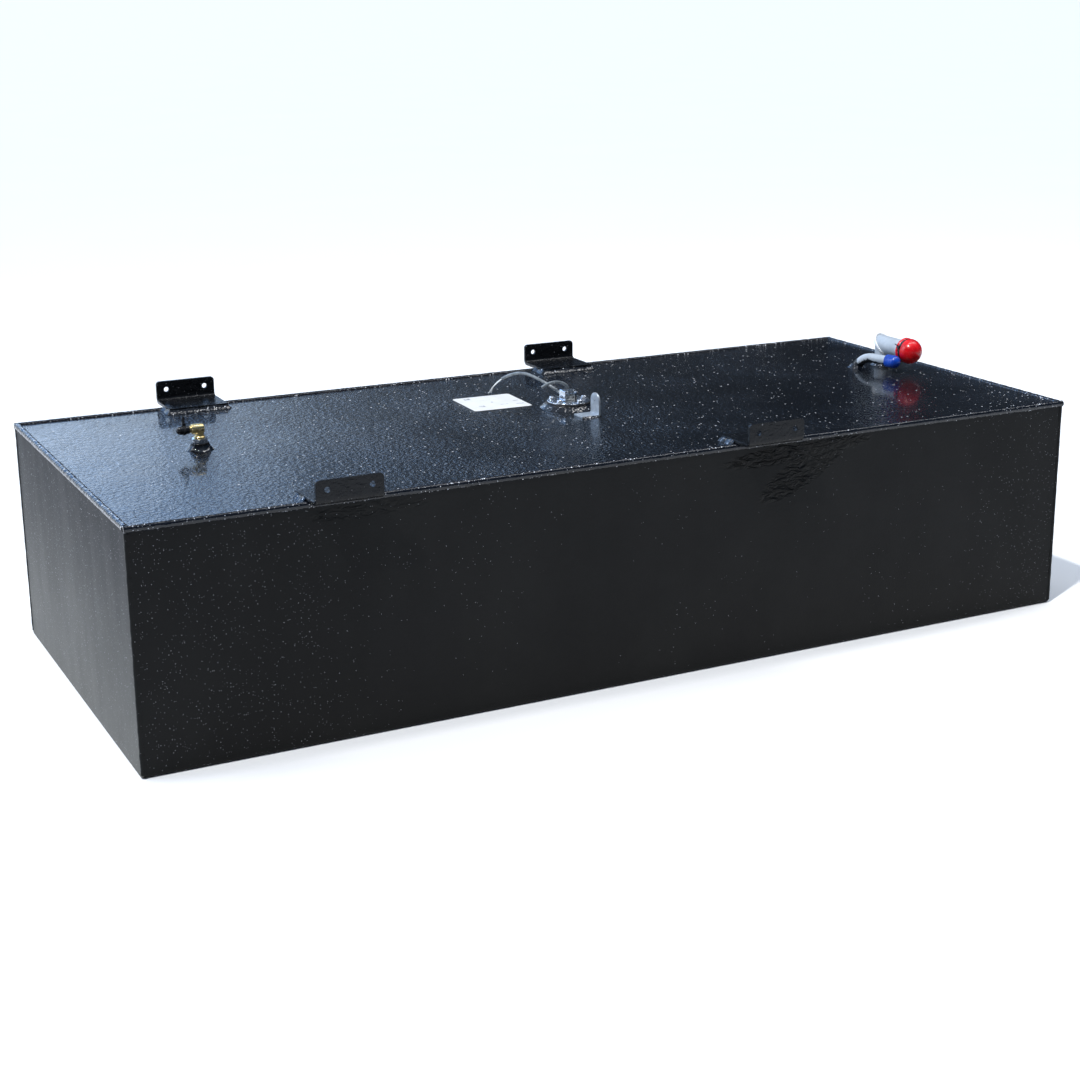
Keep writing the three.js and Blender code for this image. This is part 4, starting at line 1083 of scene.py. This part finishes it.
def dress_cad():
    slots = {row["node"]: row["material_slot"] for row in frame["record"]["subparts"]}
    for name, node in frame["nodes"].items():
        node.data.materials.clear()
        node.data.materials.append(MATERIAL["end_paint" if name.endswith("end_plate") else slots[name]])
    for name in ("wrap_sheet", "left_end_plate", "right_end_plate", "top_plate"):
        node = frame["nodes"][name]
        modifier = node.modifiers.new("edges", "BEVEL")
        modifier.width, modifier.segments = 0.0004, 2
        modifier.limit_method, modifier.angle_limit = "ANGLE", math.radians(40)


# ---- floor and light ----

def make_stage():
    mesh = bpy.data.meshes.new("floor")
    mesh.from_pydata([(x, y, -0.0005) for x, y in box(-300, -300, 300, 300)], [], [(0, 1, 2, 3)])
    g = material("floor", roughness=0.9, specular_ior_level=0.1)
    g.set(g.shader, "Base Color", g.mix(g.noise(1.5, 3, 0.5), (0.88, 0.88, 0.875), (0.9, 0.9, 0.895)))
    mesh.materials.append(g.material)
    floor = placed("floor", mesh)


def make_light():
    """A large soft sky, bright and blue behind the tank's left end, and a soft key from above left."""
    world = bpy.data.worlds.new("studio")
    world.use_nodes = True
    bpy.context.scene.world = world
    g = Graph(world.node_tree)
    direction = g.node("TexCoord").outputs["Generated"]
    x, y, z = g.node("SeparateXYZ", {0: direction}).outputs
    flat = g.node("CombineXYZ", {0: x, 1: y}).outputs[0]
    level = g.node("VectorMath", {0: flat}, operation="NORMALIZE").outputs[0]
    # The bright part of the sky is round this heading, clockwise from +Y.
    a = math.radians(-35)
    towards = {0: level, 1: (math.sin(a), math.cos(a), 0)}
    facing = g.node("VectorMath", towards, operation="DOT_PRODUCT").outputs["Value"]
    side = g.ramp(g.span(facing, -1, 1, smooth=False), [
        (0.0, 0.1), (0.5, 0.08), (0.66, 0.012), (0.72, 0.045), (0.765, 0.11), (0.79, 0.24), (0.81, 0.72),
        (0.84, 1.4), (0.87, 1.6), (0.92, 1.05), (1.0, 1.2)])
    tint = g.ramp(z, [
        (0.0, (0.3, 0.32, 0.34)), (0.11, (0.45, 0.54, 0.64)), (0.2, (0.98, 1.16, 1.36)),
        (0.27, (0.45, 0.76, 1.3)), (0.36, (0.25, 0.5, 1.02)), (0.6, (0.5, 0.7, 1.0))])
    low = g.node("VectorMath", {0: tint, 1: side}, operation="MULTIPLY").outputs[0]
    background = world.node_tree.nodes["Background"]
    g.set(background, "Color", g.mix(g.span(z, 0.55, 0.9), low, (0.34, 0.4, 0.5)))
    background.inputs["Strength"].default_value = 1.5

    def lamp(name, kind, strength, place, size=None, spread=None, aim=0):
        data = bpy.data.lights.new(name, kind)
        data.energy = strength
        if kind == "AREA":
            data.shape, data.size, data.size_y = "RECTANGLE", size[0], size[1]
        else:
            data.angle = math.radians(spread)
        made = placed(name, data)
        made.location = place
        made.rotation_mode = "QUATERNION"
        made.rotation_quaternion = (Vector((aim, 0, 0.2)) - Vector(place)).to_track_quat("-Z", "Y")
    lamp("key", "SUN", 2.5, (-2.2, -1.1, 4.2), spread=2.5)
    lamp("strip", "AREA", 44, (1.7, -0.1, 3.2), (3.4, 0.26), aim=1.7)
    lamp("fill", "AREA", 30, (-2.6, 0.9, 2.4), (1.6, 1.6))


tank_welds()
make_brackets()
make_outlet()
make_sender()
make_tab()
make_label()
make_filler()
make_vent()
dress_cad()
make_stage()
make_light()
bpy.context.scene.view_settings.view_transform = "Standard"
